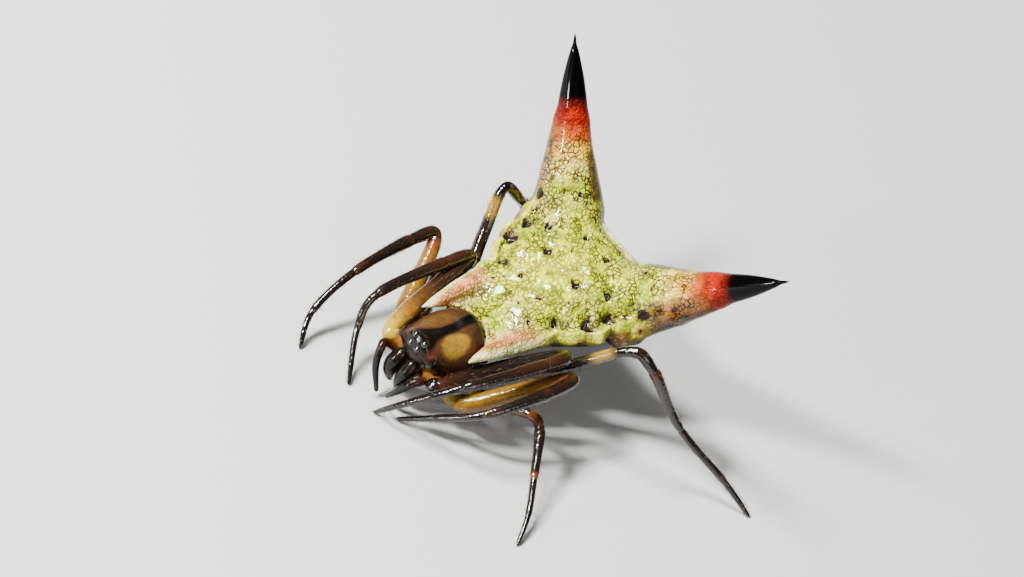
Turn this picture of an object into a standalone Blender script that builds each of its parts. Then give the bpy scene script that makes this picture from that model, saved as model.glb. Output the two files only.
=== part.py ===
"""A spiny orb-weaver, Micrathena jundiai, as a still life-size model that stands on its eight feet.

The spider faces -Y, its left side is +X, and +Z is up. Sizes and places below are millimetres on the
animal, with the floor at z = 0 and the carapace's middle above x = 0, y = 0. Every object hangs from one
empty, which moves the whole animal so that the origin is under the middle of its box.
"""

import math

import bmesh
import bpy
from mathutils import Vector

MM = 0.001
JOINT_GAP = 0.2  # between two pieces that meet at a joint
SKIN_GAP = 0.12  # between two bodies that lie side by side
EYE_GAP = 0.04  # between an eye and its socket
WELD = 1e-8  # metres: closer points than this are one point
TUBE_SIDES = 2  # bevel resolution, which gives eight sides

# Carapace and sternum as stations along the body: y, half width, height of the widest line, top, underside
CARAPACE = (
    (-1.42, 0.16, 2.04, 2.14, 1.92),
    (-1.37, 0.40, 2.02, 2.27, 1.70),
    (-1.26, 0.60, 1.97, 2.37, 1.58),
    (-1.05, 0.68, 1.85, 2.42, 1.32),
    (-0.80, 0.75, 1.72, 2.42, 1.08),
    (-0.40, 0.92, 1.56, 2.38, 0.94),
    (0.05, 1.04, 1.48, 2.40, 0.90),
    (0.40, 1.05, 1.46, 2.52, 0.90),
    (0.75, 0.93, 1.46, 2.56, 0.95),
    (1.05, 0.70, 1.46, 2.28, 1.06),
    (1.28, 0.40, 1.46, 1.90, 1.22),
)
PEDICEL = ((0.0, 1.10, 1.46), (0.0, 1.70, 1.54))
PEDICEL_RADIUS = 0.17

# Abdomen as stations along the body: y, half width, margin height, top, underside
ABDOMEN = (
    (1.12, 0.95, 2.34, 2.46, 2.12),
    (1.40, 1.30, 2.42, 2.60, 1.90),
    (1.75, 1.46, 2.50, 2.76, 1.45),
    (2.20, 1.56, 2.60, 2.97, 1.20),
    (2.60, 1.63, 2.68, 3.18, 1.08),
    (2.90, 1.80, 2.76, 3.32, 1.04),
    (3.20, 2.01, 2.85, 3.47, 1.00),
    (3.60, 2.20, 2.98, 3.66, 0.98),
    (4.00, 2.25, 3.12, 3.82, 0.98),
    (4.40, 2.35, 3.28, 3.94, 1.00),
    (5.00, 2.50, 3.40, 4.05, 1.25),
    (5.50, 2.30, 3.35, 3.98, 1.75),
    (5.85, 1.65, 3.25, 3.80, 2.30),
    (6.02, 0.90, 3.15, 3.55, 2.75),
)
VENTRAL_FLAT = 0.16  # half width of the ventral cone's end, as a share of the abdomen's half width

# Posterior spine: the axis on the left side, and radii along it from the base, as (distance, radius)
POSTERIOR_BASE = (1.65, 5.52, 3.49)
POSTERIOR_TIP = (4.77, 6.09, 7.40)
POSTERIOR_RADII = (
    (-0.70, 0.80),
    (0.0, 1.02),
    (0.60, 0.93),
    (1.30, 0.79),
    (2.15, 0.58),
    (2.80, 0.47),
    (3.35, 0.385),
    (3.90, 0.29),
    (4.45, 0.17),
    (4.80, 0.09),
    (5.01, 0.03),
)
POSTERIOR_CUT = 1.05  # distance from the base at which the spine's own node begins

# Anterior spine, which lies beside the carapace: its axis on the left side with the radius at each point
ANTERIOR_AXIS = (
    (1.10, 1.85, 2.48, 0.42),
    (1.10, 1.35, 2.42, 0.38),
    (1.08, 0.95, 2.38, 0.33),
    (1.05, 0.50, 2.31, 0.27),
    (1.05, 0.12, 2.22, 0.17),
    (1.06, -0.10, 2.18, 0.08),
    (1.06, -0.17, 2.17, 0.03),
)
ANTERIOR_CUT_Y = 1.05

# Spinnerets at the end of the ventral cone
SPINNERET_AT = (0.0, 4.00, 0.80)
SPINNERET_LENGTH = 0.42

# Eyes: name, distance from the midline, y, height, radius
EYES_MEDIAN = (
    ("anterior_median", 0.14, -1.38, 2.11, 0.10),
    ("posterior_median", 0.19, -1.25, 2.33, 0.11),
)
EYES_LATERAL = ((0.63, -1.24, 1.93, 0.09), (0.64, -1.12, 2.04, 0.09))

# Chelicera and palp on the left side: points with radii, and the palp of each side bends its own way
CHELICERA = (
    (0.24, -1.38, 1.42, 0.21),
    (0.24, -1.42, 1.15, 0.23),
    (0.22, -1.42, 0.88, 0.19),
    (0.20, -1.38, 0.72, 0.13),
)
FANG = ((0.22, -1.40, 0.76, 0.08), (0.13, -1.36, 0.62, 0.06), (0.10, -1.26, 0.58, 0.03))
PALPS = {
    "right": (
        (-0.62, -1.10, 1.22, 0.16),
        (-0.80, -1.42, 1.42, 0.15),
        (-0.70, -1.66, 1.38, 0.14),
        (-0.50, -1.76, 0.90, 0.13),
        (-0.14, -1.66, 0.24, 0.10),
    ),
    "left": (
        (0.62, -1.10, 1.22, 0.16),
        (0.74, -1.36, 1.42, 0.14),
        (0.66, -1.60, 1.34, 0.13),
        (0.52, -1.76, 0.95, 0.12),
        (0.30, -1.74, 0.48, 0.10),
    ),
}

# Coxae: end of each coxa on the left side, and the direction in which the leg leaves it
COXAE = {
    1: ((0.76, -0.90, 1.36), (0.93, -0.25, 0.27)),
    2: ((0.96, -0.35, 1.02), (0.98, 0.05, -0.12)),
    3: ((1.00, 0.50, 1.02), (0.96, 0.25, -0.08)),
    4: ((0.74, 1.05, 1.22), (0.72, 0.68, 0.08)),
}
COXA_RADIUS = 0.25
COXA_DEPTH = 0.55  # how far a coxa reaches into the body from its end
TROCHANTER = 0.16  # length of the trochanter beyond the joint

# Legs: places of the femur's bends, knee, end of patella, of tibia and of metatarsus, and the claw
LEGS = {
    "leg_1_right": (
        (-1.55, 0.50, 1.68),
        (-1.96, 2.40, 2.32),
        (-2.06, 1.56, 2.35),
        (-2.15, -0.74, 1.75),
        (-1.77, -1.43, 0.95),
        (-0.72, -2.14, 0.0),
    ),
    "leg_2_right": (
        (-1.87, 0.50, 1.00),
        (-3.13, 2.24, 2.00),
        (-3.31, 1.43, 2.00),
        (-3.19, -0.63, 1.50),
        (-2.87, -2.12, 0.70),
        (-2.28, -2.73, 0.0),
    ),
    "leg_3_right": (
        (-1.70, 1.25, 0.98),
        (-2.35, 1.95, 1.28),
        (-2.62, 2.30, 1.18),
        (-2.75, 3.05, 0.72),
        (-2.55, 3.52, 0.34),
        (-2.35, 3.80, 0.0),
    ),
    "leg_4_right": (
        (-1.62, 2.35, 1.50),
        (-2.50, 3.35, 2.55),
        (-3.05, 4.01, 3.60),
        (-2.80, 4.86, 3.05),
        (-2.78, 6.50, 1.70),
        (-2.85, 7.28, 0.75),
        (-2.92, 7.70, 0.0),
    ),
    "leg_1_left": (
        (1.50, 0.75, 1.68),
        (2.10, 2.41, 2.60),
        (2.26, 1.61, 2.75),
        (1.74, -0.84, 2.10),
        (1.01, -1.78, 1.00),
        (0.42, -2.07, 0.0),
    ),
    "leg_2_left": (
        (1.75, -0.05, 1.12),
        (2.22, 0.95, 1.75),
        (2.75, 2.37, 2.40),
        (2.90, 1.38, 2.35),
        (2.53, -0.44, 1.70),
        (1.59, -1.13, 0.75),
        (0.86, -1.51, 0.0),
    ),
    "leg_3_left": (
        (1.95, 0.92, 1.00),
        (2.81, 1.23, 1.40),
        (3.36, 1.13, 1.42),
        (4.40, 0.33, 0.85),
        (5.20, -0.34, 0.40),
        (5.73, -1.01, 0.0),
    ),
    "leg_4_left": (
        (2.00, 2.62, 1.88),
        (3.10, 3.65, 3.50),
        (3.84, 4.13, 3.35),
        (4.98, 5.25, 1.75),
        (6.49, 6.43, 0.70),
        (7.45, 7.02, 0.0),
    ),
}
FEMUR_RADIUS = 0.26
SHIN_RADIUS = 0.25
CLAW_RADIUS = 0.15

# Colours as linear RGB, with roughness
LOOKS = {
    "carapace": ((0.24, 0.11, 0.035), 0.25),
    "chelicera": ((0.012, 0.008, 0.007), 0.2),
    "abdomen": ((0.62, 0.60, 0.24), 0.3),
    "posterior_spine": ((0.60, 0.10, 0.03), 0.25),
    "anterior_spine": ((0.80, 0.52, 0.28), 0.3),
    "leg": ((0.10, 0.045, 0.018), 0.2),
    "eye": ((0.004, 0.004, 0.005), 0.05),
    "spinneret": ((0.05, 0.025, 0.015), 0.35),
}


def material(slot):
    """The Principled material of one kind of piece."""
    found = bpy.data.materials.get(slot)
    if found:
        return found
    colour, roughness = LOOKS[slot]
    made = bpy.data.materials.new(slot)
    made.use_nodes = True
    shader = made.node_tree.nodes["Principled BSDF"]
    shader.inputs["Base Color"].default_value = (*colour, 1.0)
    shader.inputs["Roughness"].default_value = roughness
    return made


def scratch_object(mesh):
    """An object in the scene for a mesh that is still being worked on."""
    piece = bpy.data.objects.new("work", mesh)
    bpy.context.scene.collection.objects.link(piece)
    return piece


def mirrored(point, side):
    """A place on the left side, moved to the side given as +1 (left) or -1 (right)."""
    return (point[0] * side, *point[1:])


def smooth_path(points, steps):
    """Places along a Catmull-Rom curve through the points, each with as many numbers as they have."""
    ends = [points[0], *points, points[-1]]
    path = []
    for before, start, end, after in zip(ends, ends[1:], ends[2:], ends[3:]):
        for k in range(steps):
            t = k / steps
            path.append(
                tuple(
                    0.5
                    * (
                        2 * b
                        + (c - a) * t
                        + (2 * a - 5 * b + 4 * c - d) * t**2
                        + (3 * b - a - 3 * c + d) * t**3
                    )
                    for a, b, c, d in zip(before, start, end, after)
                )
            )
    path.append(tuple(points[-1]))
    return path


def rounded_end(end, inner, radius):
    """Two more rings past a tube's end, which close it like a ball."""
    outward = (Vector(end) - Vector(inner)).normalized()
    rings = []
    for reach, share in ((0.60, 0.80), (0.92, 0.38)):
        place = Vector(end) + outward * radius * reach
        rings.append((*place, radius * share))
    return rings


def tube(path, flat_start=False, flat_end=False):
    """A closed tube through (x, y, z, radius) places, its ends round unless they are asked for flat."""
    path = [tuple(p) for p in path]
    if not flat_start:
        path = rounded_end(path[0][:3], path[1][:3], path[0][3])[::-1] + path
    if not flat_end:
        path = path + rounded_end(path[-1][:3], path[-2][:3], path[-1][3])
    curve = bpy.data.curves.new("tube", "CURVE")
    curve.dimensions = "3D"
    curve.bevel_depth = MM
    curve.bevel_resolution = TUBE_SIDES
    curve.use_fill_caps = True
    spline = curve.splines.new("POLY")
    spline.points.add(len(path) - 1)
    for point, (x, y, z, radius) in zip(spline.points, path):
        point.co = (x * MM, y * MM, z * MM, 1.0)
        point.radius = radius
    holder = bpy.data.objects.new("tube", curve)
    bpy.context.scene.collection.objects.link(holder)
    evaluated = holder.evaluated_get(bpy.context.evaluated_depsgraph_get())
    mesh = bpy.data.meshes.new_from_object(evaluated)
    bpy.data.objects.remove(holder)
    bpy.data.curves.remove(curve)
    work = bmesh.new()
    work.from_mesh(mesh)
    bmesh.ops.remove_doubles(work, verts=work.verts, dist=WELD)
    bmesh.ops.recalc_face_normals(work, faces=work.faces)
    work.to_mesh(mesh)
    work.free()
    return scratch_object(mesh)


def loft(rings):
    """A closed body through rings of equally many (x, y, z) places."""
    work = bmesh.new()
    rows = [[work.verts.new(Vector(p) * MM) for p in ring] for ring in rings]
    count = len(rows[0])
    for row, following in zip(rows, rows[1:]):
        for k in range(count):
            after = (k + 1) % count
            work.faces.new((row[k], row[after], following[after], following[k]))
    work.faces.new(rows[0][::-1])
    work.faces.new(rows[-1])
    bmesh.ops.triangulate(work, faces=work.faces)
    bmesh.ops.recalc_face_normals(work, faces=work.faces)
    mesh = bpy.data.meshes.new("loft")
    work.to_mesh(mesh)
    work.free()
    return scratch_object(mesh)


def ball(centre, radius, segments=10, rings=6):
    """A ball as a closed mesh."""
    work = bmesh.new()
    bmesh.ops.create_uvsphere(work, u_segments=segments, v_segments=rings, radius=radius * MM)
    bmesh.ops.translate(work, verts=work.verts, vec=Vector(centre) * MM)
    mesh = bpy.data.meshes.new("ball")
    work.to_mesh(mesh)
    work.free()
    return scratch_object(mesh)


def combine(target, operation, others, solver="EXACT"):
    """Joins the others to the target, or cuts them from it, and removes them."""
    group = bpy.data.collections.new("operands")
    bpy.context.scene.collection.children.link(group)
    for piece in others:
        group.objects.link(piece)
    step = target.modifiers.new("combine", "BOOLEAN")
    step.operation = operation
    step.operand_type = "COLLECTION"
    step.collection = group
    step.solver = solver
    evaluated = target.evaluated_get(bpy.context.evaluated_depsgraph_get())
    mesh = bpy.data.meshes.new_from_object(evaluated)
    target.modifiers.clear()
    target.data = mesh
    for piece in others:
        bpy.data.objects.remove(piece)
    bpy.data.collections.remove(group)
    return target


def volume_of(faces):
    """The signed volume inside a closed set of triangles."""
    total = 0.0
    for face in faces:
        a, b, c = (v.co for v in face.verts)
        total += a.dot(b.cross(c)) / 6.0
    return total


def keep_largest(work):
    """Leaves only the largest closed surface of a triangulated bmesh."""
    unseen = set(work.faces)
    islands = []
    while unseen:
        island = {unseen.pop()}
        edge_of_island = list(island)
        while edge_of_island:
            face = edge_of_island.pop()
            for edge in face.edges:
                for neighbour in edge.link_faces:
                    if neighbour in unseen:
                        unseen.remove(neighbour)
                        island.add(neighbour)
                        edge_of_island.append(neighbour)
        islands.append(island)
    largest = max(islands, key=volume_of)
    scrap = [f for f in work.faces if f not in largest]
    bmesh.ops.delete(work, geom=scrap, context="FACES")


def stand_on_floor(work):
    """Cuts away what lies under the floor, which leaves a small flat face there."""
    everything = work.verts[:] + work.edges[:] + work.faces[:]
    bmesh.ops.bisect_plane(
        work, geom=everything, dist=WELD, plane_co=(0, 0, 0), plane_no=(0, 0, 1), clear_inner=True
    )
    rim = [edge for edge in work.edges if edge.is_boundary]
    if rim:
        bmesh.ops.holes_fill(work, edges=rim, sides=0)


def finished(name, slot, piece, centre, on_floor=False):
    """Turns a working object into a named part of the animal."""
    work = bmesh.new()
    work.from_mesh(piece.data)
    if on_floor:
        stand_on_floor(work)
    bmesh.ops.remove_doubles(work, verts=work.verts, dist=WELD)
    bmesh.ops.triangulate(work, faces=work.faces)
    keep_largest(work)
    loose = [v for v in work.verts if not v.link_faces]
    bmesh.ops.delete(work, geom=loose, context="VERTS")
    mesh = bpy.data.meshes.new(name)
    work.to_mesh(mesh)
    work.free()
    mesh.shade_smooth()
    mesh.set_sharp_from_angle(angle=math.radians(50))
    mesh.materials.append(material(slot))
    bpy.data.objects.remove(piece)
    part = bpy.data.objects.new(name, mesh)
    part.parent = centre
    bpy.data.collections["micrathena"].objects.link(part)
    return part


def carapace_ring(station, grow):
    """One section of the carapace: a dome above, a shallower bowl below."""
    y, half, widest, top, under = station
    half += grow
    top += grow
    under -= grow
    ring = []
    for k in range(20):
        angle = math.tau * k / 20
        height = (top - widest) if math.sin(angle) >= 0 else (widest - under)
        ring.append((half * math.cos(angle), y, widest + height * math.sin(angle)))
    return ring


def carapace_body(grow=0.0):
    """The carapace and sternum as one body, or a larger one that clears room for it."""
    stations = [list(s) for s in CARAPACE]
    stations[0][0] -= grow
    stations[-1][0] += grow
    return loft([carapace_ring(s, grow) for s in stations])


def pedicel(grow=0.0):
    """The waist between carapace and abdomen."""
    start, end = PEDICEL
    radius = PEDICEL_RADIUS + grow
    end = (end[0], end[1] + grow, end[2])
    return tube([(*start, radius), (*end, radius)], True, True)


def abdomen_ring(station):
    """One section of the abdomen: a low crown between the margins, and sides that run in to the keel."""
    y, half, margin, top, under = station
    ring = []
    for k in range(9):
        angle = math.pi * k / 8
        ring.append((half * math.cos(angle), y, margin + (top - margin) * math.sin(angle) ** 0.8))
    for k in range(1, 7):
        ring.append(side_place(station, k / 6, -1))
    for k in range(6, 0, -1):
        ring.append(side_place(station, k / 6, 1))
    return ring


def side_place(station, share, side):
    """A place on the abdomen's side wall, from the margin (share 0) down to the keel (share 1)."""
    y, half, margin, _, under = station
    width = half * (VENTRAL_FLAT + (1 - VENTRAL_FLAT) * (1 - share**1.2) ** 0.9)
    return (side * width, y, margin - (margin - under) * share)


def spine_path(side, start, end):
    """The posterior spine's places with radii, between two distances from its base."""
    base = Vector(POSTERIOR_BASE)
    axis = (Vector(POSTERIOR_TIP) - base).normalized()
    stations = [start, *(s for s, _ in POSTERIOR_RADII if start < s < end), end]
    path = []
    for station in stations:
        place = base + axis * station
        path.append((place.x * side, place.y, place.z, radius_at(station)))
    return path


def radius_at(station):
    """The posterior spine's radius at a distance from its base."""
    pairs = list(zip(POSTERIOR_RADII, POSTERIOR_RADII[1:]))
    for (near, thick), (far, thin) in pairs:
        if near <= station <= far:
            return thick + (thin - thick) * (station - near) / (far - near)
    return POSTERIOR_RADII[-1][1]


def anterior_path(side, from_tip):
    """The anterior spine's places with radii, either its root or its free part."""
    axis = [mirrored(p, side) for p in ANTERIOR_AXIS]
    if from_tip:
        start = ANTERIOR_CUT_Y - JOINT_GAP
        return [between(axis, start), *(p for p in axis if p[1] < start)]
    return [*(p for p in axis if p[1] > ANTERIOR_CUT_Y), between(axis, ANTERIOR_CUT_Y)]


def between(axis, y):
    """The place with radius where an axis that runs forward crosses y."""
    for back, front in zip(axis, axis[1:]):
        if back[1] >= y >= front[1]:
            share = (back[1] - y) / (back[1] - front[1])
            return tuple(b + (f - b) * share for b, f in zip(back, front))
    return axis[-1]


def make_cephalothorax(centre):
    """Head, thorax, sternum, coxae and waist as one body, with a socket for each eye."""
    body = carapace_body()
    joined = [pedicel()]
    for side in (-1, 1):
        for end, direction in COXAE.values():
            outer = Vector(mirrored(end, side))
            away = Vector(mirrored(direction, side)).normalized()
            inner = outer - away * COXA_DEPTH
            joined.append(tube([(*inner, COXA_RADIUS), (*outer, COXA_RADIUS)], False, True))
    combine(body, "UNION", joined)
    sockets = []
    for side in (-1, 1):
        for _, x, y, z, radius in EYES_MEDIAN:
            sockets.append(ball((x * side, y, z), radius + EYE_GAP, 12, 8))
        for x, y, z, radius in EYES_LATERAL:
            sockets.append(ball((x * side, y, z), radius + EYE_GAP, 12, 8))
    combine(body, "DIFFERENCE", sockets)
    finished("cephalothorax", "carapace", body, centre)


def make_eyes(centre):
    """Four median eyes, each by itself, and the two lateral eyes of each side joined in a pair."""
    for word, side in (("right", -1), ("left", 1)):
        for name, x, y, z, radius in EYES_MEDIAN:
            finished(f"eye_{name}_{word}", "eye", ball((x * side, y, z), radius), centre)
        front, back = (ball((x * side, y, z), radius) for x, y, z, radius in EYES_LATERAL)
        combine(front, "UNION", [back])
        finished(f"eyes_lateral_{word}", "eye", front, centre)


def make_mouthparts(centre):
    """A chelicera with its folded fang, and a palp, on each side."""
    for word, side in (("right", -1), ("left", 1)):
        jaw = tube(smooth_path([mirrored(p, side) for p in CHELICERA], 2))
        fang = tube([mirrored(p, side) for p in FANG])
        combine(jaw, "UNION", [fang])
        finished(f"chelicera_{word}", "chelicera", jaw, centre)
        finished(f"palp_{word}", "leg", tube(smooth_path(PALPS[word], 3)), centre)


def make_abdomen(centre):
    """The wedge of the abdomen with the roots of its four spines."""
    body = loft([abdomen_ring(s) for s in ABDOMEN])
    roots = []
    for side in (-1, 1):
        start = POSTERIOR_RADII[0][0]
        roots.append(tube(spine_path(side, start, POSTERIOR_CUT - JOINT_GAP), False, True))
        roots.append(tube(anterior_path(side, False), False, True))
    combine(body, "UNION", roots)
    combine(body, "DIFFERENCE", [carapace_body(SKIN_GAP), pedicel(JOINT_GAP)])
    finished("abdomen", "abdomen", body, centre)


def make_spines(centre):
    """The two long posterior spines and the two short anterior ones."""
    tip = POSTERIOR_RADII[-1][0]
    for word, side in (("right", -1), ("left", 1)):
        long_spine = tube(spine_path(side, POSTERIOR_CUT, tip), True, False)
        finished(f"posterior_spine_{word}", "posterior_spine", long_spine, centre)
        short_spine = tube(anterior_path(side, True), True, False)
        combine(short_spine, "DIFFERENCE", [carapace_body(SKIN_GAP)])
        finished(f"anterior_spine_{word}", "anterior_spine", short_spine, centre)


def make_spinnerets(centre):
    """A ring of four blunt cones on a short base."""
    x, y, z = SPINNERET_AT
    base = tube([(x, y, z, 0.26), (x, y, z - 0.14, 0.24)], True, True)
    cones = []
    for k in range(4):
        angle = math.tau * (k + 0.5) / 4
        near = (x + 0.11 * math.cos(angle), y + 0.12 * math.sin(angle), z - 0.08, 0.12)
        far = (x + 0.13 * math.cos(angle), y + 0.14 * math.sin(angle), z - SPINNERET_LENGTH, 0.06)
        cones.append(tube([near, far], True, False))
    combine(base, "UNION", cones)
    finished("spinnerets", "spinneret", base, centre)


def make_leg(name, centre):
    """One leg from its trochanter to its claw, in the five segments beyond the coxa."""
    pair = int(name.split("_")[1])
    side = 1 if name.endswith("left") else -1
    coxa_end, direction = COXAE[pair]
    away = Vector(mirrored(direction, side)).normalized()
    root = Vector(mirrored(coxa_end, side)) + away * JOINT_GAP
    elbow = root + away * TROCHANTER
    *femur, patella_end, tibia_end, metatarsus_end, claw = LEGS[name]
    knee = femur[-1]
    trochanter = tube([(*root, COXA_RADIUS), (*elbow, COXA_RADIUS)], True, False)
    thigh_places = [(*elbow, COXA_RADIUS), *((*p, FEMUR_RADIUS) for p in femur)]
    segments = [tube(smooth_path(thigh_places, 3))]
    segments.append(tube([(*knee, FEMUR_RADIUS), (*patella_end, SHIN_RADIUS)]))
    segments.append(tube([(*patella_end, SHIN_RADIUS), (*tibia_end, SHIN_RADIUS)]))
    segments.append(tube([(*tibia_end, SHIN_RADIUS), (*metatarsus_end, SHIN_RADIUS)]))
    segments.append(tube([(*metatarsus_end, SHIN_RADIUS), (*claw, CLAW_RADIUS)]))
    combine(trochanter, "UNION", segments)
    finished(name, "leg", trochanter, centre, on_floor=True)


def rest_on_origin(centre):
    """Moves the empty so that the origin lies under the middle of the whole animal."""
    places = [v.co for part in centre.children for v in part.data.vertices]
    lows = [min(p[axis] for p in places) for axis in range(3)]
    highs = [max(p[axis] for p in places) for axis in range(3)]
    centre.location = (-(lows[0] + highs[0]) / 2, -(lows[1] + highs[1]) / 2, -lows[2])


def main():
    for old in list(bpy.data.objects):
        bpy.data.objects.remove(old)
    group = bpy.data.collections.new("micrathena")
    bpy.context.scene.collection.children.link(group)
    centre = bpy.data.objects.new("footprint_centre", None)
    group.objects.link(centre)
    make_cephalothorax(centre)
    make_eyes(centre)
    make_mouthparts(centre)
    make_abdomen(centre)
    make_spines(centre)
    make_spinnerets(centre)
    for name in LEGS:
        make_leg(name, centre)
    rest_on_origin(centre)


main()
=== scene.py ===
import math
import random

import bpy
import numpy as np
from mathutils import Matrix, Vector


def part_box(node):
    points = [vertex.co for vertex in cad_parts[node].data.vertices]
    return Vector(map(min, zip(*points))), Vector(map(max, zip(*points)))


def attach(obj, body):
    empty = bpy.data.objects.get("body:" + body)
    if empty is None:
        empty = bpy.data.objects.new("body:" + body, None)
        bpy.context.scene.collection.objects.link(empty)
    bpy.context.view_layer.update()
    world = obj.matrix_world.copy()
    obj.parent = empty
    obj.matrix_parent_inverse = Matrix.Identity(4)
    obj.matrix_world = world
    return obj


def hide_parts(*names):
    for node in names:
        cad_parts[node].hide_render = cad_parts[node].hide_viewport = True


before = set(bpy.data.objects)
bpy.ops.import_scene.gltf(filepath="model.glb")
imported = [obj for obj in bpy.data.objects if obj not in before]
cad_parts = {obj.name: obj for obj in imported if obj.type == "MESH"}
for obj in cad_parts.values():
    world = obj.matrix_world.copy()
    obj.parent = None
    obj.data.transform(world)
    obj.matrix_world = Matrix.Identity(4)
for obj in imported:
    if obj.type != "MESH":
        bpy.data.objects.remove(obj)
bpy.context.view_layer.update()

# The animal is shaped in millimetres, facing -Y, with the floor at z = 0 and the carapace's middle above
# x = 0, y = 0. place() takes that frame to the CAD frame, in metres.
MM = 0.001
CARAPACE_FRONT = -1.42
HEAD_LOW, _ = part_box("cephalothorax")
_, LEFT_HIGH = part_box("posterior_spine_left")
RIGHT_LOW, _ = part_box("posterior_spine_right")
ORIGIN = Vector(((LEFT_HIGH.x + RIGHT_LOW.x) / 2, HEAD_LOW.y - CARAPACE_FRONT * MM, 0.0))


def place(point):
    """A place in the animal's own millimetres, as a place in the CAD frame."""
    return ORIGIN + Vector(point) * MM


# Camera: the photograph's view, taken as nearly parallel because the lens is far away for so small an animal
VIEW_RIGHT = Vector((0.6015, 0.6784, 0.4219)).normalized()
VIEW_BACK = Vector((0.3523, -0.699, 0.6217)).normalized()
PIXELS_PER_MM = 36.4
IMAGE_WIDTH = 1024
IMAGE_HEIGHT = 577
AIM_MM = (0.0, 0.0, 2.38)
AIM_PIXEL = (453.0, 328.0)
CAMERA_DISTANCE = 0.16
NEAREST = 0.005
FARTHEST = 10.0
SENSOR = 36.0


def make_camera():
    """A long lens at the photograph's angle, with the carapace at the same place in the picture."""
    back = (VIEW_BACK - VIEW_RIGHT * VIEW_BACK.dot(VIEW_RIGHT)).normalized()
    up = back.cross(VIEW_RIGHT)
    across = (IMAGE_WIDTH / 2 - AIM_PIXEL[0]) / PIXELS_PER_MM * MM
    down = (IMAGE_HEIGHT / 2 - AIM_PIXEL[1]) / PIXELS_PER_MM * MM
    target = place(AIM_MM) + VIEW_RIGHT * across - up * down
    data = bpy.data.cameras.new("camera")
    data.sensor_width = SENSOR
    data.lens = SENSOR * PIXELS_PER_MM * (CAMERA_DISTANCE / MM) / IMAGE_WIDTH
    data.clip_start = NEAREST
    data.clip_end = FARTHEST
    camera = bpy.data.objects.new("camera", data)
    turn = Matrix((VIEW_RIGHT, up, back)).transposed().to_4x4()
    camera.matrix_world = Matrix.Translation(target + back * CAMERA_DISTANCE) @ turn
    bpy.context.scene.collection.objects.link(camera)
    bpy.context.scene.camera = camera


# Carapace and sternum stations: y, half width, height of the widest line, top, underside
CARAPACE = (
    (-1.42, 0.16, 2.04, 2.16, 1.92),
    (-1.37, 0.38, 2.02, 2.28, 1.7),
    (-1.26, 0.57, 1.97, 2.37, 1.6),
    (-1.05, 0.66, 1.85, 2.41, 1.36),
    (-0.8, 0.74, 1.72, 2.41, 1.12),
    (-0.4, 0.91, 1.56, 2.38, 0.98),
    (0.05, 1.03, 1.48, 2.4, 0.94),
    (0.4, 1.04, 1.46, 2.52, 0.94),
    (0.75, 0.92, 1.46, 2.56, 0.98),
    (1.05, 0.69, 1.46, 2.28, 1.08),
    (1.28, 0.38, 1.46, 1.88, 1.24),
)

# Abdomen stations: y, half width at the margin, margin height, top on the midline, underside
ABDOMEN = (
    (-0.19, 1.05, 2.15, 2.16, 2.11),
    (0.05, 1.14, 2.2, 2.25, 2.04),
    (0.5, 1.26, 2.29, 2.38, 1.99),
    (0.95, 1.35, 2.36, 2.47, 1.97),
    (1.4, 1.43, 2.43, 2.6, 1.86),
    (1.75, 1.49, 2.5, 2.76, 1.48),
    (2.2, 1.57, 2.6, 2.98, 1.22),
    (2.6, 1.64, 2.68, 3.19, 1.08),
    (2.9, 1.8, 2.76, 3.33, 1.04),
    (3.2, 2.02, 2.85, 3.48, 1.0),
    (3.6, 2.21, 2.98, 3.67, 0.98),
    (4.0, 2.25, 3.12, 3.83, 0.98),
    (4.4, 2.36, 3.28, 3.95, 1.0),
    (5.0, 2.52, 3.42, 4.07, 1.28),
    (5.5, 2.32, 3.38, 4.0, 1.8),
    (5.85, 1.85, 3.3, 3.84, 2.35),
    (6.02, 1.4, 3.2, 3.68, 2.8),
)
KEEL_SHARE = 0.16

# The notch in the abdomen's front that the carapace fills, with an anterior spine on each side of it
NOTCH_Y = -0.19
NOTCH_HALF = 1.05
NOTCH_LENGTH = 1.22
NOTCH_POWER = 1.65
ANTERIOR_AXIS = (
    (1.1, 1.85, 2.44, 0.36), (1.1, 1.35, 2.38, 0.3), (1.08, 0.95, 2.33, 0.25),
    (1.05, 0.5, 2.28, 0.2), (1.05, 0.12, 2.21, 0.11), (1.06, -0.08, 2.17, 0.05),
    (1.065, -0.18, 2.155, 0.02),
)

POSTERIOR_BASE = (1.65, 5.52, 3.49)
POSTERIOR_TIP = (4.77, 6.09, 7.4)
POSTERIOR_RADII = (
    (-0.9, 0.75), (0.0, 1.0), (0.6, 0.92), (1.0, 0.83), (1.4, 0.74), (1.8, 0.64),
    (2.15, 0.565), (2.5, 0.51), (2.9, 0.455), (3.35, 0.39), (3.9, 0.3), (4.45, 0.175),
    (4.72, 0.1), (4.86, 0.055), (5.0, 0.038), (5.14, 0.008),
)
SPINE_LOWER = Vector((0.72, -0.1, -0.69)).normalized()
SPINE_SWELL = ((0.4, 0.1, 0.84), (1.2, 0.16, 0.7), (1.9, 0.14, 0.555), (2.6, 0.05, 0.45))
TIP_START = 3.3  # distance along the posterior spine at which its horny tip begins
SKIN_END = 3.45

# Heights of the dorsum's relief; a pit's depth and rim are shares of its smaller half size
SWELL_HEIGHT = 0.03
RIPPLE_HEIGHT = 0.009
PIT_RIM = 0.16
PIT_DEPTH = 1.05
EDGE_HEIGHT = 0.11
GUTTER_DEPTH = 0.1
GROOVE_DEPTH = 0.04
SHELF_DEPTH = 0.15
FURROW_DEPTH = 0.06
CARAPACE_ROOM = 0.05  # clear space between the abdomen's notch and the carapace

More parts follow.
